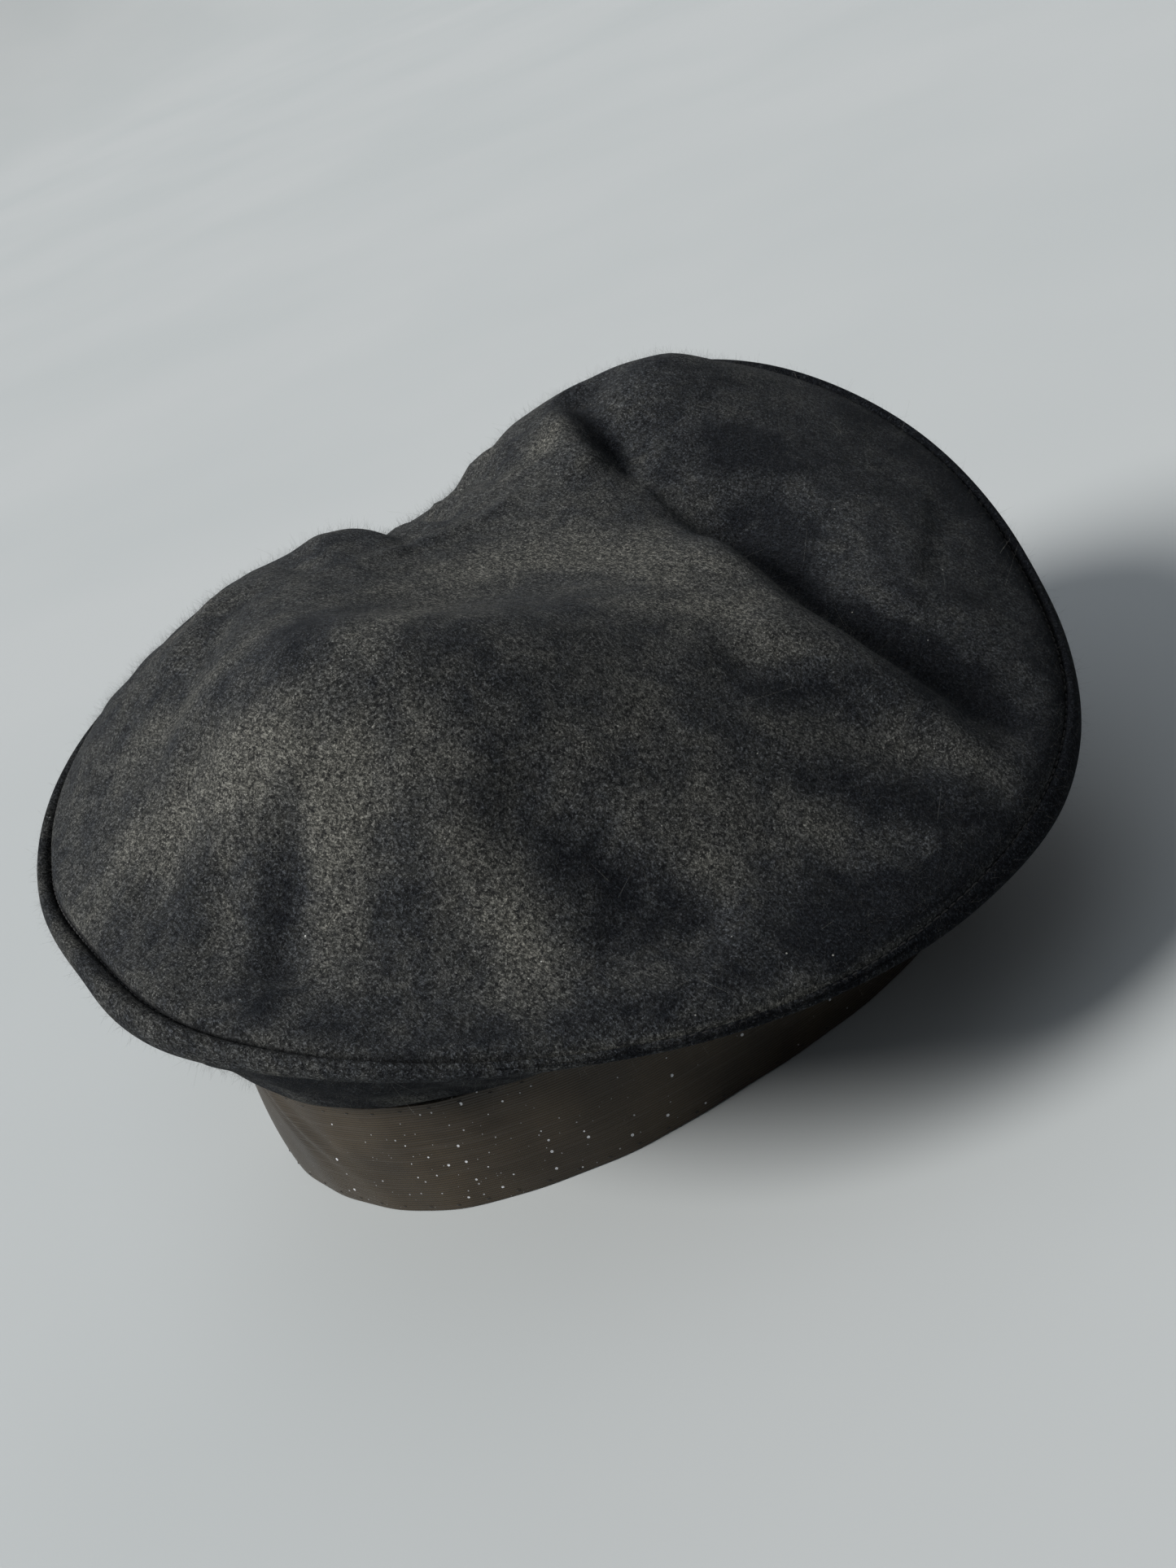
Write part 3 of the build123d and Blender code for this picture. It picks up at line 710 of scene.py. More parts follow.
# ---------------------------------------------------------------- top panel
NT = 400
rho_out = np.r_[0.006, np.linspace(0.012, 0.90, 112), np.linspace(0.90, 1.0, 27)[1:]]
OUT, R, T = top_grid(rho_out, NT)
NRM = smooth_normals(OUT, 2)
if NRM[60, :, 2].mean() < 0:
    NRM = -NRM
WOOL_T = 2.0
rho_in = np.r_[0.02, np.linspace(0.04, 0.93, 46), 0.96, 0.985]
SMO, R2, T2 = top_grid(rho_in, NT, 0.55)
N2 = smooth_normals(SMO, 3)
if N2[20, :, 2].mean() < 0:
    N2 = -N2
INN = SMO - N2 * WOOL_T
th = np.arange(NT) * 2 * np.pi / NT
e3 = np.stack([np.cos(th), np.sin(th), 0 * th], -1)
lip1 = OUT[-1] + np.array([0, 0, -1.1]) - 0.10 * e3
lip2 = OUT[-1] + np.array([0, 0, -2.6]) - 0.9 * e3
lip3 = OUT[-1] + np.array([0, 0, -2.9]) - 2.2 * e3
rings = [*OUT, lip1, lip2, lip3, *INN[::-1]]
top = chain("crown_top_panel_wool", rings, pole0=OUT[0].mean(0), pole1=INN[0].mean(0), mat=WOOL)

# where the nap is rubbed and dusty (positive strength), and where it is darker (negative strength), much of it painted
# shade in the valley, the dent, the folds' hollows, over the lobe and along the rim away from the key light: paths in
# plan, width, strength
STREAKS = [
    ([(30, 115), (19, 99), (-3, 83), (-17, 74)], 9, 0.85),
    ([(-10, 78), (-34, 73), (-47, 64)], 9, 0.85),
    ([(-38, 77), (-40, 87), (-53, 97)], 7, 0.5),
    ([(-14, 94), (-21, 112)], 4, 0.4),
    ([(-61, 61), (-80, 68), (-88, 75)], 9, 0.6),
    ([(12, 15), (4, -15), (-17, -26), (-45, -25)], 13, 0.85),
    ([(-29, 53), (-6, 14)], 9, 0.6),
    ([(-44, -9), (-59, -23), (-75, -20)], 8, 0.5),
    ([(-85, 0), (-98, -24), (-113, -37)], 4, 0.4),
    ([(-89, 18), (-101, 4), (-120, 4)], 8, 0.4),
    ([(-86, 29), (-99, 28)], 6, 0.35),
    ([(55, 84), (22, 66), (13, 51)], 6, 0.5),
    ([(47, -36), (35, -57)], 6, 0.6),
    ([(-63, 13), (-76, 16)], 7, 0.3),
    ([(6, 56), (-20, 50)], 11, -0.45),
    ([(-4, 70), (-20, 67)], 8, -0.35),
    ([(-22, 74), (-30, 92), (-42, 110)], 6, -0.42),
    ([(20, 98), (14, 107), (9, 117)], 6, -0.22),
    ([(-2, 90), (-11, 114)], 6, -0.28),
    ([(-64, 56), (-80, 46), (-93, 41), (-108, 42)], 7, -0.45),
    ([(-80, 58), (-95, 52)], 8, -0.18),
    ([(-48, 66), (-57, 76), (-60, 90)], 8, -0.22),
    ([(-43, 41), (-45, 29)], 9, -0.2),
    ([(-72, -4), (-83, -19), (-95, -30)], 6, -0.55),
    ([(-92, 2), (-118, -23)], 7, -0.60),
    ([(-112, 18), (-122, -6)], 8, -0.35),
    # painted shade in the valley, on the lobe's wall below it, and in the dent
    ([(-22, -59), (-33, -58), (-42, -54)], 10, -1.15),
    ([(-43, -51), (-71, -48), (-89, -50), (-109, -54)], 5, -0.8),
    ([(1, -76), (-17, -82)], 7, -0.8),
    ([(-76, -50), (-92, -53)], 7, -0.7),
    ([(49, -71), (45, -69)], 6, -0.7),
    ([(42, -68), (22, -60)], 4, -0.8),
    ([(-31, 117), (-78, 100), (-109, 63), (-118, 28), (-120, -2)], 5, -0.35),
    ([(-110, 29), (-120, 5)], 8, -0.3),
    # painted shade over the lobe, which faces away from the key light
    ([(-21, -89), (-68, -75), (-92, -64)], 24, -0.28),
    ([(40, -84), (0, -92)], 22, -0.3),
    ([(60, 30), (74, 56)], 9, 0.35),
    # painted shade along the rim on the side away from the key light
    ([(-119, 26), (-124, -2), (-124, -30), (-114, -62), (-97, -84), (-74, -101), (-36, -116), (6, -120)], 6, -0.75),
    ([(96, 10), (88, 60)], 9, -0.45),
    ([(100, -30), (70, -75)], 8, 0.3),
    ([(84, -8), (66, -46)], 9, 0.4),
]


def wear_and_painted_light_of(P):
    x, y = P[:, 0], P[:, 1]
    w = np.full(len(P), 0.47)
    for path, r, a in STREAKS:
        d, _, t = along_path(x, y, path)
        w += 0.5 * a * ramp(t, ((0, 0.5), (0.25, 1), (0.75, 1), (1, 0.5))) * np.exp(-(d / r) ** 2)
    return np.clip(w, 0.02, 1)


def coords_mm(ob):
    co = np.zeros(len(ob.data.vertices) * 3)
    ob.data.vertices.foreach_get("co", co)
    return co.reshape(-1, 3) / MM


w_top = wear_and_painted_light_of(coords_mm(top))
g_top = groove_share(th)
e_top = (1 - rho_out) * R_MEAN
# painted shade in the groove of the rim seam: the seam attribute darkens the top panel near its edge, and its turned
# lip
n_lip = np.zeros((len(rings), NT))
w_line = 0.75 + 0.75 * np.exp(-((np.degrees(th) - 134) / 17) ** 2)
n_lip[:len(OUT)] = np.exp(-(e_top[:, None] / w_line) ** 2) * seam_line_share(th)
n_lip[len(OUT):len(OUT) + 3] = 0.3 + 0.7 * seam_line_share(th)
# painted highlight: a light line along the panel's edge where it turns over the seam, added into the attribute below
edge_lit = np.zeros((len(rings), NT))
edge_lit[:len(OUT)] = np.exp(-(e_top / 0.7) ** 2)[:, None] * (1 - g_top)
pad = len(top.data.vertices) - n_lip.size
attribute(top, "wear_and_painted_light", np.clip(w_top + 0.32 * np.r_[edge_lit.ravel(), np.zeros(pad)], 0, 1))
attribute(top, "seam", np.r_[n_lip.ravel(), np.zeros(pad)])
ready(top, "crown_top_panel")

# ---------------------------------------------------------------- under panel with the rim's roll
PER = [4, 5, 5, 5, 5, 5, 5, 5, 12, 10, 8, 4, 3, 4]
UN, ux, ul = under_grid(NT, PER)
NU = smooth_normals(UN, 2)
if (NU[20] * e3).sum(-1).mean() < 0:
    NU = -NU
thick = np.full(len(ux), 2.0)
INU = UN - NU * np.interp(ux, [0, ul[1], ul[5], ul[-1]], [1.0, 1.6, 2.0, 1.9])[:, None, None]
keep = np.r_[np.arange(0, len(ux), 3), len(ux) - 1]
keep = np.unique(keep)
under = chain("crown_under_panel_wool", [*UN, *INU[keep][::-1]], closed=True, mat=WOOL_UNDER)
co = coords_mm(under)
ang = np.arctan2(co[:, 1] - CROWN_Y, co[:, 0] - CROWN_X)
lit = 0.5 + 0.5 * np.cos(ang - np.radians(82))               # painted light and shade: lighter on the side towards the key light, at the nape, darker away from it, towards the brow
ring_x = np.r_[np.repeat(ux, NT), np.full(len(co) - len(ux) * NT, 60.0)]
# painted shade: darker beyond the roll's turn, in the strip under the rim
w_un = wear_and_painted_light_of(co) * (0.25 + 0.72 * lit) - 0.12 * np.clip((ring_x - ul[8]) / 3.0, 0, 1)
# painted highlight: a light line along the fold where the roll turns under
w_un += 0.16 * np.exp(-((ring_x - ul[8]) / 0.9) ** 2)
attribute(under, "wear_and_painted_light", np.clip(w_un, 0, 1))
# painted shade: the seam attribute darkens the groove of the rim seam and, on the near side, the strip under the rim
attribute(under, "seam", np.exp(-(ring_x / 1.9) ** 2) * np.tile(seam_line_share(th), len(co) // NT)
          + 0.15 * np.clip((ring_x - ul[8] - 0.5) / 2.0, 0, 1) * np.clip((ang % (2 * np.pi) - 1.3) / 0.3, 0, 1) * np.clip((4.3 - ang % (2 * np.pi)) / 0.3, 0, 1))
ready(under, "crown_under_panel")


# ---------------------------------------------------------------- loose fibres standing out of the nap
def nap(ob, seed, count, n_outer, length=0.0008):
    g = ob.vertex_groups.new(name="nap")
    g.add(list(range(n_outer)), 1.0, "REPLACE")
    ob.modifiers.new("nap", "PARTICLE_SYSTEM")
    ps = ob.particle_systems[-1]
    ps.seed = seed
    ps.vertex_group_density = "nap"
    st_ = ps.settings
    st_.type = "HAIR"
    st_.count = count
    st_.use_advanced_hair = True
    st_.hair_length = length
    st_.hair_step = 3
    st_.render_step = 2
    st_.display_step = 2
    st_.emit_from = "FACE"
    st_.use_even_distribution = True
    st_.normal_factor = 0.45 * length
    st_.factor_random = 0.9 * length
    st_.length_random = 0.7
    st_.root_radius = 1.0
    st_.tip_radius = 0.35
    st_.radius_scale = 0.000022
    st_.roughness_1 = 0.0004
    st_.roughness_1_size = 0.002
    st_.material = 2
    ob.data.materials.append(NAP)
    return ps


def lint_hairs(ob, seed, count, length=0.0023):
    """A few longer pale fibres caught in the nap."""
    ob.modifiers.new("lint", "PARTICLE_SYSTEM")
    ps = ob.particle_systems[-1]
    ps.seed = seed
    ps.vertex_group_density = "nap"
    st_ = ps.settings
    st_.type = "HAIR"
    st_.count = count
    st_.use_advanced_hair = True
    st_.hair_length = length
    st_.hair_step = 5
    st_.render_step = 3
    st_.emit_from = "FACE"
    st_.use_even_distribution = True
    st_.normal_factor = 0.12 * length
    st_.tangent_factor = 0.5 * length
    st_.tangent_phase = 0.3
    st_.factor_random = 0.9 * length
    st_.length_random = 0.7
    st_.root_radius = 1.0
    st_.tip_radius = 0.6
    st_.radius_scale = 0.000024
    st_.roughness_1 = 0.0009
    st_.roughness_1_size = 0.0015
    st_.material = 3
    ob.data.materials.append(LINT)


LINT = thread_material("lint_fibre", (0.10, 0.10, 0.095), (0.30, 0.30, 0.28))
NAP = thread_material("nap_fibre", (0.006, 0.0066, 0.008), (0.085, 0.085, 0.078))
nap(top, 3, 34000, len(rho_out) * NT)
nap(under, 4, 20000, len(UN) * NT)
lint_hairs(top, 7, 260)
lint_hairs(under, 9, 60)


# ---------------------------------------------------------------- stitches
def stitches(name, centres, tangents, normals, length, width, height, mat, per=8):
    """Short rounded thread bars, each a small closed lozenge, as one mesh."""
    verts, faces = [], []
    for c, t, n in zip(centres, tangents, normals):
        t = t / np.linalg.norm(t)
        n = n / np.linalg.norm(n)
        b = np.cross(n, t)
        base = len(verts)
        prof = [(-0.5, 0.25), (-0.32, 0.85), (0.0, 1.0), (0.32, 0.85), (0.5, 0.25)]
        for s, w in prof:
            arc = height * (1 - (2 * s) ** 2) * 0.6
            for k in range(per):
                a = 2 * np.pi * k / per
                verts.append(c + t * s * length + b * (width / 2 * w * np.cos(a)) + n * (arc + height / 2 * w * np.sin(a)))
        for r in range(len(prof) - 1):
            for k in range(per):
                q = (k + 1) % per
                faces.append((base + r * per + k, base + r * per + q, base + (r + 1) * per + q, base + (r + 1) * per + k))
        faces.append(tuple(base + k for k in reversed(range(per))))
        faces.append(tuple(base + (len(prof) - 1) * per + k for k in range(per)))
    ob = new_mesh(name, np.array(verts) * MM, faces)
    ob.data.materials.append(mat)
    return ob


def along_curve(C, pitch, phase=0.0):
    """Points, tangents at even spacing along a closed curve."""
    D = np.vstack([C, C[:1]])
    ln = np.r_[0, np.cumsum(np.linalg.norm(np.diff(D, axis=0), axis=1))]
    n = int(round(ln[-1] / pitch))
    s = (np.arange(n) + phase) / n * ln[-1]
    P = np.stack([np.interp(s, ln, D[:, i]) for i in range(3)], -1)
    Q = np.stack([np.interp((s + 0.5) % ln[-1], ln, D[:, i]) for i in range(3)], -1)
    return P, Q - P, s / ln[-1]


seam_line = OUT[-1] + np.array([0, 0, -0.75]) + 0.15 * e3
P, Tn, s = along_curve(seam_line, 2.6)
ang = np.arctan2(P[:, 1] - CROWN_Y, P[:, 0] - CROWN_X)
Nn = np.stack([0.45 * np.cos(ang), 0.45 * np.sin(ang), np.full(len(ang), 0.9)], -1)
st = stitches("rim_seam_stitches", P, Tn, Nn, 2.2, 0.42, 0.30, THREAD)
ready(st, "rim_seam_thread")


# ---------------------------------------------------------------- headband ribbon
def ribbon_ring(name, nth, zs, inset_fn, thick, mat, dust=None, z_fn=None, per_in=1):
    """Upright band: outer wall, inner wall and its two edges, with UVs in metres round and up."""
    t = np.arange(nth) * 2 * np.pi / nth
    outer, inner = [], []
    for z in zs:
        p = oval(t, inset_fn(t, z), z)
        if z_fn is not None:
            p[:, 2] = z_fn(t, z)
        outer.append(p)
        q = p.copy()
        q[:, 0] -= thick * np.cos(t)
        q[:, 1] -= thick * np.sin(t)
        inner.append(q)
    h = thick * 0.5

    def mid(a, b, dz, f):
        m = a * (1 - f) + b * f
        m[:, 2] += dz
        return m
    lo0, lo1 = mid(outer[0], inner[0], 0, 0.5), None
    rings = [*outer, *inner[::-1]]
    ob = chain(name, rings, closed=True, mat=mat)
    per = np.r_[0, np.cumsum(np.linalg.norm(np.diff(np.vstack([outer[0], outer[0][:1]]), axis=0), axis=1))][:-1]
    uv = np.zeros((len(ob.data.vertices), 2))
    co = coords_mm(ob)
    K = len(rings)
    uv[:, 0] = np.tile(per, K) * MM
    uv[:, 1] = co[:, 2] * MM
    uvs(ob, uv)
    if dust is not None:
        attribute(ob, "dust", dust(np.tile(t, K), co[:, 2]))
    return ob


BT = 29.9


def ribbon_inset(t, z):
    k = z / BT
    y = np.sin(t)
    # slack waves, and the lower edge drawn in all round by its stitching
    lean = 0.5 * (1 - k) ** 6
    wave = 0.35 * np.sin(7 * t + 1.1) * np.sin(np.pi * k) + 0.25 * np.sin(13 * t + 0.3) * (k - 0.4) + 0.18 * np.sin(29 * t + 5 * k)
    belly = -0.35 * np.sin(np.pi * k)
    deg = np.degrees(t) % 360
    # soft creases running down and forwards from the ribbon's upper edge at the nape
    cz = 80 + (BT - z) * 0.95
    up_ = np.clip((z - 8) / 10, 0, 1) if np.ndim(z) else float(np.clip((z - 8) / 10, 0, 1))
    crease = up_ * (0.55 * np.exp(-((deg - cz) / 1.5) ** 2) - 0.45 * np.exp(-((deg - cz - 3.4) / 2.0) ** 2) + 0.3 * np.exp(-((deg - cz - 8) / 2.2) ** 2))
    # lapped join on the wearer's left
    lap = -0.75 / (1 + np.exp(np.clip(-(deg - 352) / 0.35, -30, 30))) / (1 + np.exp(np.clip((deg - 359.4) / 0.5, -30, 30)))
    return lean + wave * 0.6 + belly + crease + lap


zs = np.r_[0.0, 0.25, 0.8, np.linspace(1.8, 28.2, 20), 29.2, 29.7, BT]


def ribbon_dust(t, z):
    deg = np.degrees(t) % 360
    return np.clip(1.1 * np.exp(-((deg - 128) / 22) ** 2) + 0.12 - 0.5 * np.clip((z - 22) / 6, 0, 1), 0, 1)


def ribbon_z(t, z):
    return z + (0.25 * np.sin(5 * t + 0.7) + 0.15 * np.sin(11 * t)) * np.clip(z / BT, 0, 1) ** 3


ribbon = ribbon_ring("headband_ribbon_satin", 600, zs, ribbon_inset, 0.75, RIBBON, ribbon_dust, ribbon_z)
ready(ribbon, "headband_ribbon")


def band_point(t, z, out):
    return oval(t, ribbon_inset(t, np.asarray(z, float)) - out, z)


tc = np.arange(1200) * 2 * np.pi / 1200
for nm, z, node in (("headband_upper_stitches", 28.4, "headband_upper_stitching"), ("headband_lower_stitches", 1.3, "headband_lower_stitching")):
    P, Tn, s = along_curve(band_point(tc, z, 0.02), 7.5)
    Nn = P - np.array([HEAD_X, HEAD_Y, z])
    ob = stitches(nm, P, Tn, Nn, 1.1, 0.30, 0.16, THREAD)
    ready(ob, node)

# ---------------------------------------------------------------- buckram stay, sweatband, label
stay = ribbon_ring("headband_stay_buckram", 240, np.linspace(1.6, 19.4, 8), lambda t, z: 4.1 + 0 * t, 0.5, BUCKRAM)
ready(stay, "headband_stay")


def sweat_ring():
    """Sweatband with its foot turned out under the ribbon's inner face."""
    n = 600
    t = np.arange(n) * 2 * np.pi / n

    def at(ins, z, w=0.0):
        return oval(t, ins + w, z)
    wv = 0.25 * np.sin(9 * t + 0.5) + 0.15 * np.sin(17 * t + 1.9)
    sc = 0.22 * (1 + np.sin(2 * np.pi * np.arange(n) * 300 / n))
    prof = [(1.25, 0.0, 0), (3.4, 0.0, 0), (5.0, 0.0, 0), (5.5, 0.15, 0), (5.85, 0.6, 0), (6.0, 1.4, 0)]
    prof += [(6.0, z, 1) for z in np.linspace(2.5, 25.5, 16)]
    prof += [(6.0, 26.6, 1), (5.85, 26.95, 1), (5.5, 27.0, 1), (5.3, 26.6, 1)]
    prof += [(5.25, z, 1) for z in np.linspace(25.0, 3.0, 7)]
    prof += [(5.2, 1.6, 0), (5.0, 1.0, 0), (4.4, 0.75, 0), (3.0, 0.7, 0), (1.25, 0.7, 0)]
    rings = [at(i, z, w * wv * np.sin(np.pi * min(1, z / 27))) for i, z, w in prof]
    ob = chain("sweatband_petersham", rings, closed=True, mat=SWEAT)
    per = 2 * np.pi * 88 * np.arange(n) / n
    uv = np.zeros((len(ob.data.vertices), 2))
    # petersham ribs run across the band, so the rib coordinate goes round
    uv[:, 1] = np.tile(per, len(rings)) * MM
    uv[:, 0] = coords_mm(ob)[:, 2] * MM
    uvs(ob, uv)
    return ob


sweat = sweat_ring()
ready(sweat, "sweatband")


def inside_point(t, z, ins):
    return oval(t, ins + (0.25 * np.sin(9 * t + 0.5) + 0.15 * np.sin(17 * t + 1.9)) * np.sin(np.pi * min(1, z / 27)), z)


P, Tn, s = along_curve(inside_point(tc, 24.9, 6.03), 3.0)
Nn = np.array([HEAD_X, HEAD_Y, 24.9]) - P
ob = stitches("sweatband_stitches", P, Tn, Nn, 2.1, 0.34, 0.2, THREAD)
ready(ob, "sweatband_stitching")

# label: a blank woven tab at the nape
la, lb = np.radians(81.2), np.radians(98.8)
nu_, nv_ = 40, 24
tt = np.linspace(la, lb, nu_)
zz = np.linspace(4.8, 21.2, nv_)
front, back = [], []
for z in zz:
    bulge = 0.25 * np.sin(np.pi * (z - 4.8) / 16.4) + 0.12 * np.sin(9 * (tt - la) / (lb - la))
    front.append(np.stack([inside_point(np.array([a]), z, 6.45 + b)[0] for a, b in zip(tt, bulge)]))
    back.append(np.stack([inside_point(np.array([a]), z, 6.12 + b * 0.8)[0] for a, b in zip(tt, bulge)]))
front, back = np.array(front), np.array(back)
loops = []
verts, faces = np.concatenate([front.reshape(-1, 3), back.reshape(-1, 3)]) * MM, []
half = nu_ * nv_
for r in range(nv_ - 1):
    for c in range(nu_ - 1):
        a, b, c2, d = r * nu_ + c, r * nu_ + c + 1, (r + 1) * nu_ + c + 1, (r + 1) * nu_ + c
        faces.append((a, b, c2, d))
        faces.append((half + d, half + c2, half + b, half + a))
rim = [r * nu_ for r in range(nv_)] + [(nv_ - 1) * nu_ + c for c in range(1, nu_)] + [r * nu_ + nu_ - 1 for r in range(nv_ - 2, -1, -1)] + [c for c in range(nu_ - 2, 0, -1)]
for a, b in zip(rim, rim[1:] + rim[:1]):
    faces.append((a, b, half + b, half + a))
label = new_mesh("size_label_blank", verts, faces)
label.data.materials.append(LABEL)
uv = np.zeros((len(verts), 2))
g = np.stack(np.meshgrid(np.arange(nv_), np.arange(nu_), indexing="ij"), -1).reshape(-1, 2)
uv[:half, 0] = uv[half:, 0] = g[:, 1] / (nu_ - 1) * 0.0325
uv[:half, 1] = uv[half:, 1] = g[:, 0] / (nv_ - 1) * 0.0164
uvs(label, uv)
bpy.context.view_layer.update()
import bmesh
bm = bmesh.new()
bm.from_mesh(label.data)
bmesh.ops.recalc_face_normals(bm, faces=bm.faces)
bm.to_mesh(label.data)
bm.free()
ready(label, "size_label")
cs, ts, ns = [], [], []
for z in (5.8, 20.2):
    for a in np.linspace(la + 0.008, lb - 0.008, 15):
        p = inside_point(np.array([a]), z, 6.62)[0]
        q = inside_point(np.array([a + 0.01]), z, 6.62)[0]
        cs.append(p)
        ts.append(q - p)
        ns.append(np.array([HEAD_X, HEAD_Y, z]) - p)
ob = stitches("label_stitches", cs, ts, ns, 1.5, 0.32, 0.18, LABEL_THREAD)
ready(ob, "label_stitching")

# ---------------------------------------------------------------- hidden layers and lining
NL = 240


def lay_under(ob, xs, ys, radius, gap):
    """Heights of a cloth lying smoothly under a panel: the lowest of the panel's inner face nearby, less a gap, smoothed."""
    from mathutils.bvhtree import BVHTree
    me = ob.data
    tree = BVHTree.FromPolygons([v.co for v in me.vertices], [p.vertices for p in me.polygons])
    down = Vector((0, 0, -1))
    best = np.full(xs.shape, 1e9)
    for k in range(13):
        r = 0 if k == 0 else (radius * 0.55 if k < 7 else radius)
        a = k * 2 * np.pi / 6 + (0.5 if k > 6 else 0)
        for i in range(xs.shape[0]):
            for j in range(xs.shape[1]):
                o = Vector(((xs[i, j] + r * math.cos(a)) * MM, (ys[i, j] + r * math.sin(a)) * MM, 0.2))
                hit = tree.ray_cast(o, down)
                if hit[0] is not None:
                    best[i, j] = min(best[i, j], hit[0].z / MM)
    bad = best > 1e8
    best[bad] = np.nan
    for i in range(1, best.shape[0]):
        best[i] = np.where(np.isnan(best[i]), best[i - 1], best[i])
    z = best - gap
    for _ in range(3):
        z = (2 * z + np.roll(z, 1, 1) + np.roll(z, -1, 1)) / 4
        z[1:-1] = (2 * z[1:-1] + z[:-2] + z[2:]) / 4
    return z


def layer_top(name, r1, radius, gap, thick, mat):
    rr = np.r_[0.02, np.linspace(0.06, r1, 40)]
    S, Rr, Tt = top_grid(rr, NL, 0.5)
    S[..., 2] = lay_under(top, S[..., 0], S[..., 1], radius, gap)
    Nl = smooth_normals(S, 3)
    if Nl[20, :, 2].mean() < 0:
        Nl = -Nl
    b = S - Nl * thick
    ob = chain(name, [*S, *b[::-1]], pole0=S[0].mean(0), pole1=b[0].mean(0), mat=mat)
    x = coords_mm(ob)
    uvs(ob, np.stack([x[:, 0], x[:, 1]], -1) * MM)
    return ob


canvas = layer_top("top_interlining_canvas", 0.92, 3.0, 2.8, 0.4, CANVAS)
ready(canvas, "top_interlining")

lt = layer_top("lining_top_satin", 0.955, 6.0, 4.6, 0.4, LINING)
ready(lt, "lining_top")

UL, lx, ll = under_grid(NL, [2, 2, 2, 2, 3, 3, 3, 4, 10, 8, 6, 3, 2, 3])
NLn = smooth_normals(UL, 4)
el = np.stack([np.cos(np.arange(NL) * 2 * np.pi / NL), np.sin(np.arange(NL) * 2 * np.pi / NL), np.zeros(NL)], -1)
if (NLn[8] * el).sum(-1).mean() < 0:
    NLn = -NLn
first = int(np.searchsorted(lx, ll[4]))
tl = np.arange(NL) * 2 * np.pi / NL
puck = 0.35 * np.sin(37 * tl + 1.0) + 0.25 * np.sin(53 * tl)
w = np.exp(-((lx - ll[10]) / 14.0) ** 2)[:, None]
base = UL - NLn * (3.9 + w * (0.35 + 0.5 * puck))[..., None]
base2 = base - NLn * 0.4
ls = chain("lining_side_satin", [*base[first:], *base2[first:][::-1]], closed=True, mat=LINING)
x = coords_mm(ls)
a = np.arctan2(x[:, 1] - HEAD_Y, x[:, 0] - HEAD_X)
uvs(ls, np.stack([a * 0.1, x[:, 2] * MM + np.hypot(x[:, 0], x[:, 1]) * MM], -1))
ready(ls, "lining_side")

tape_a = int(np.searchsorted(lx, ll[4])) - 1
tape_b = int(np.searchsorted(lx, ll[8] + 2.5))
ta = UL[tape_a:tape_b] - NLn[tape_a:tape_b] * 2.4
tb = UL[tape_a:tape_b] - NLn[tape_a:tape_b] * 2.9
tape = chain("rim_stay_tape_twill", [*ta, *tb[::-1]], closed=True, mat=TAPE)
x = coords_mm(tape)
a = np.arctan2(x[:, 1] - CROWN_Y, x[:, 0] - CROWN_X)
uvs(tape, np.stack([a * 0.125, x[:, 2] * MM], -1))
ready(tape, "rim_stay_tape")

# ---------------------------------------------------------------- camera
AZ, EL, ROLL_DEG, F_PX = 241.425, 24.878, 22.689, 2520.538
TX, TY, DIST = 12.247 * 1.06, -40.634 * 1.06, 514.974 * 1.06
az, elv, ro = map(math.radians, (AZ, EL, ROLL_DEG))
fwd = -np.array([math.sin(az) * math.cos(elv), -math.cos(az) * math.cos(elv), math.sin(elv)])
rt = np.cross(fwd, [0, 0, 1.0])
rt /= np.linalg.norm(rt)
up = np.cross(rt, fwd)
r2 = math.cos(ro) * rt - math.sin(ro) * up
u2 = math.sin(ro) * rt + math.cos(ro) * up
pos = np.array([HEAD_X, HEAD_Y, 0]) - (r2 * TX + u2 * TY + fwd * DIST)
cam = bpy.data.cameras.new("camera")
cam.sensor_width = 36.0
cam.lens = F_PX * 36.0 / 1927.0
cam_ob = bpy.data.objects.new("camera", cam)
scene.collection.objects.link(cam_ob)
m = Matrix.Identity(4)
for i in range(3):
    m[i][0], m[i][1], m[i][2], m[i][3] = r2[i], u2[i], -fwd[i], pos[i] * MM
cam_ob.matrix_world = m
cam.clip_start, cam.clip_end = 0.02, 100
scene.camera = cam_ob

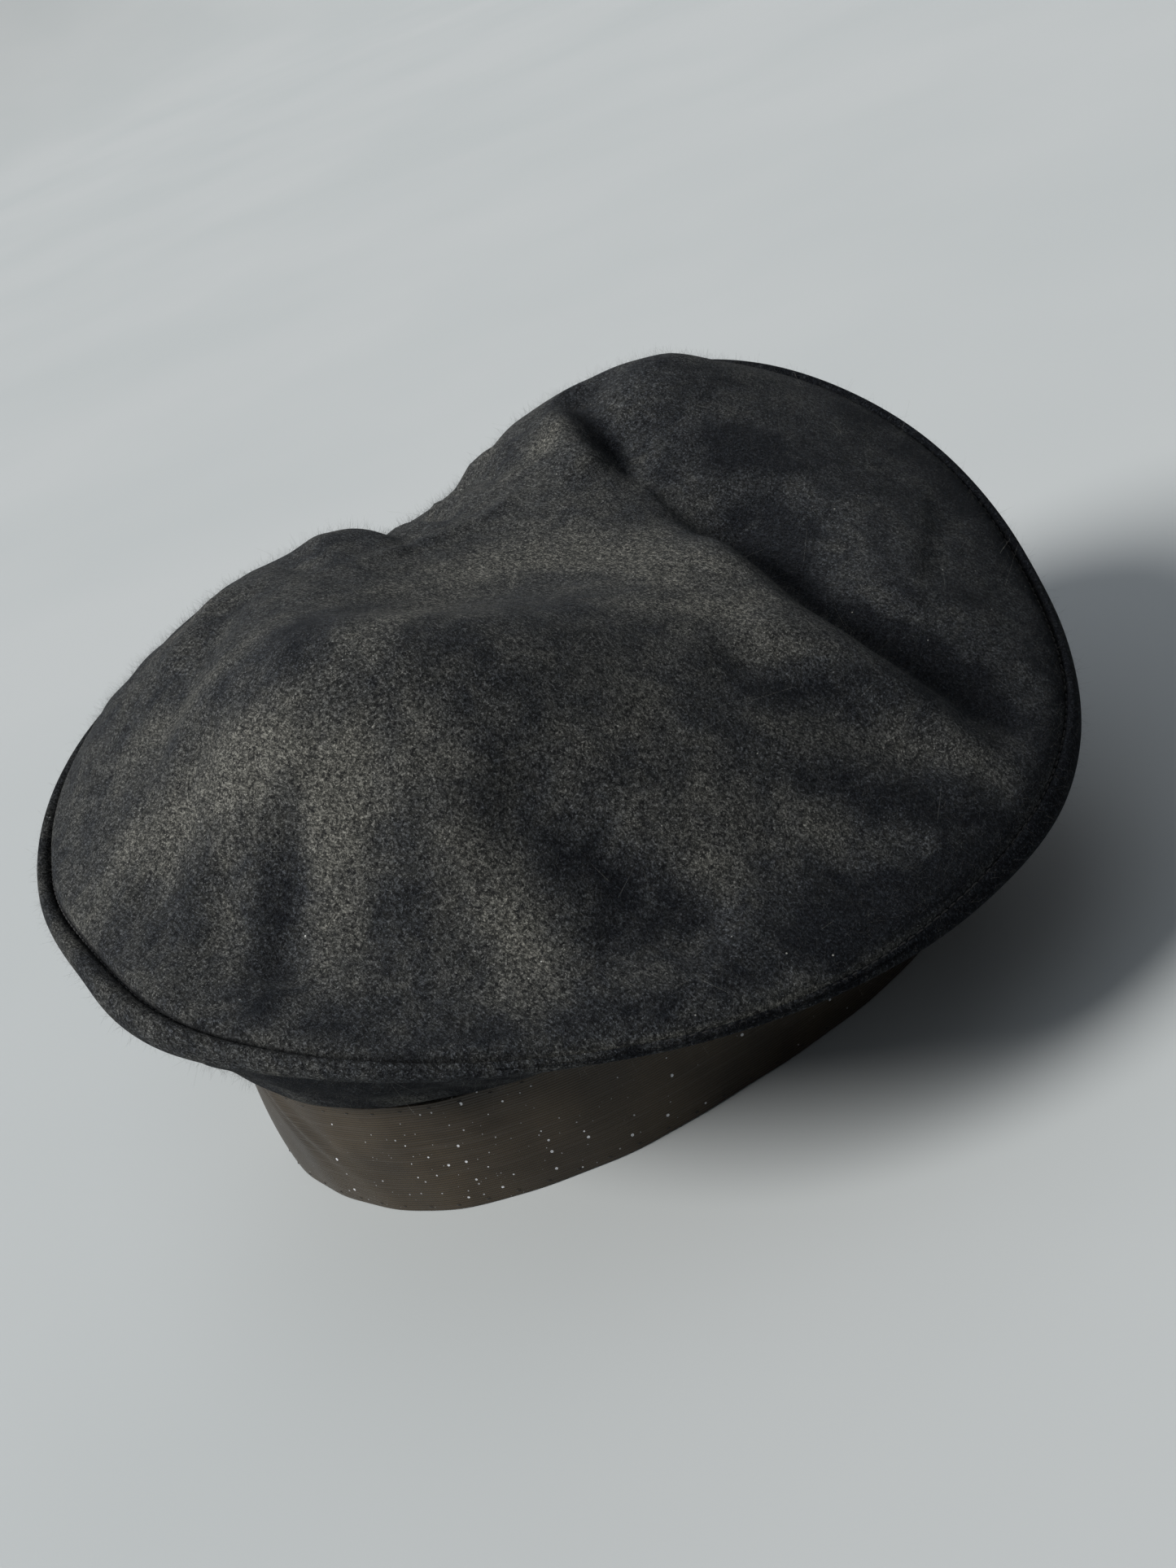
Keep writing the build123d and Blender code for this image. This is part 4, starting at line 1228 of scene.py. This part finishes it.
# ---------------------------------------------------------------- floor and light
fm = Nodes("floor_paper")
fm.put(fm.mix(fm.rng(fm.noise(3.0, 3, 0.5), 0.35, 0.65), (0.470, 0.493, 0.50), (0.495, 0.513, 0.52)), "Base Color")
fm.set(Roughness=0.9, Specular_IOR_Level=0.1)
n = 96
a = np.arange(n) * 2 * np.pi / n
disc = np.stack([2.6 * np.cos(a), 2.6 * np.sin(a), np.full(n, -0.0003)], -1)
floor = new_mesh("floor", disc, [tuple(range(n))], smooth=False)
floor.data.materials.append(fm.mat)
prof = [(2.55, -0.0008), (3.4, -0.0008)] + [(3.4 + 1.8 * math.sin(t), 1.8 * (1 - math.cos(t))) for t in np.linspace(0.1, math.pi / 2, 12)] + [(5.2, 4.5)]
vs, fs = [], []
for r, z in prof:
    vs += [(r * math.cos(t), r * math.sin(t), z) for t in a]
for k in range(len(prof) - 1):
    fs += [(k * n + i, k * n + (i + 1) % n, (k + 1) * n + (i + 1) % n, (k + 1) * n + i) for i in range(n)]
cove = new_mesh("backdrop_cove", vs, fs)
cove.data.materials.append(fm.mat)
cove.visible_diffuse = cove.visible_glossy = cove.visible_shadow = False

world = bpy.data.worlds.new("studio")
world.use_nodes = True
bg = world.node_tree.nodes["Background"]
bg.inputs["Color"].default_value = (0.86, 0.89, 0.92, 1)
bg.inputs["Strength"].default_value = 0.105
scene.world = world


def wide_light(name, azim, elev, angle, power, color=(1, 1, 1)):
    """A very large, far soft box: even over the whole floor."""
    a, e = math.radians(azim), math.radians(elev)
    d = Vector((math.sin(a) * math.cos(e), -math.cos(a) * math.cos(e), math.sin(e)))
    L = bpy.data.lights.new(name, "SUN")
    L.angle = math.radians(angle)
    L.energy = power
    L.color = color
    ob = bpy.data.objects.new(name, L)
    ob.rotation_mode = "QUATERNION"
    ob.rotation_quaternion = (-d).to_track_quat("-Z", "Y")
    ob.location = d * 3
    scene.collection.objects.link(ob)


wide_light("key", 165, 40, 24, 3.65, (1.0, 0.985, 0.950))
wide_light("far", 62, 20, 50, 0.50, (0.92, 0.96, 1.0))
wide_light("sky", 150, 52, 110, 0.85, (0.84, 0.92, 1.0))

scene.view_settings.view_transform = "Standard"
scene.view_settings.look = "None"
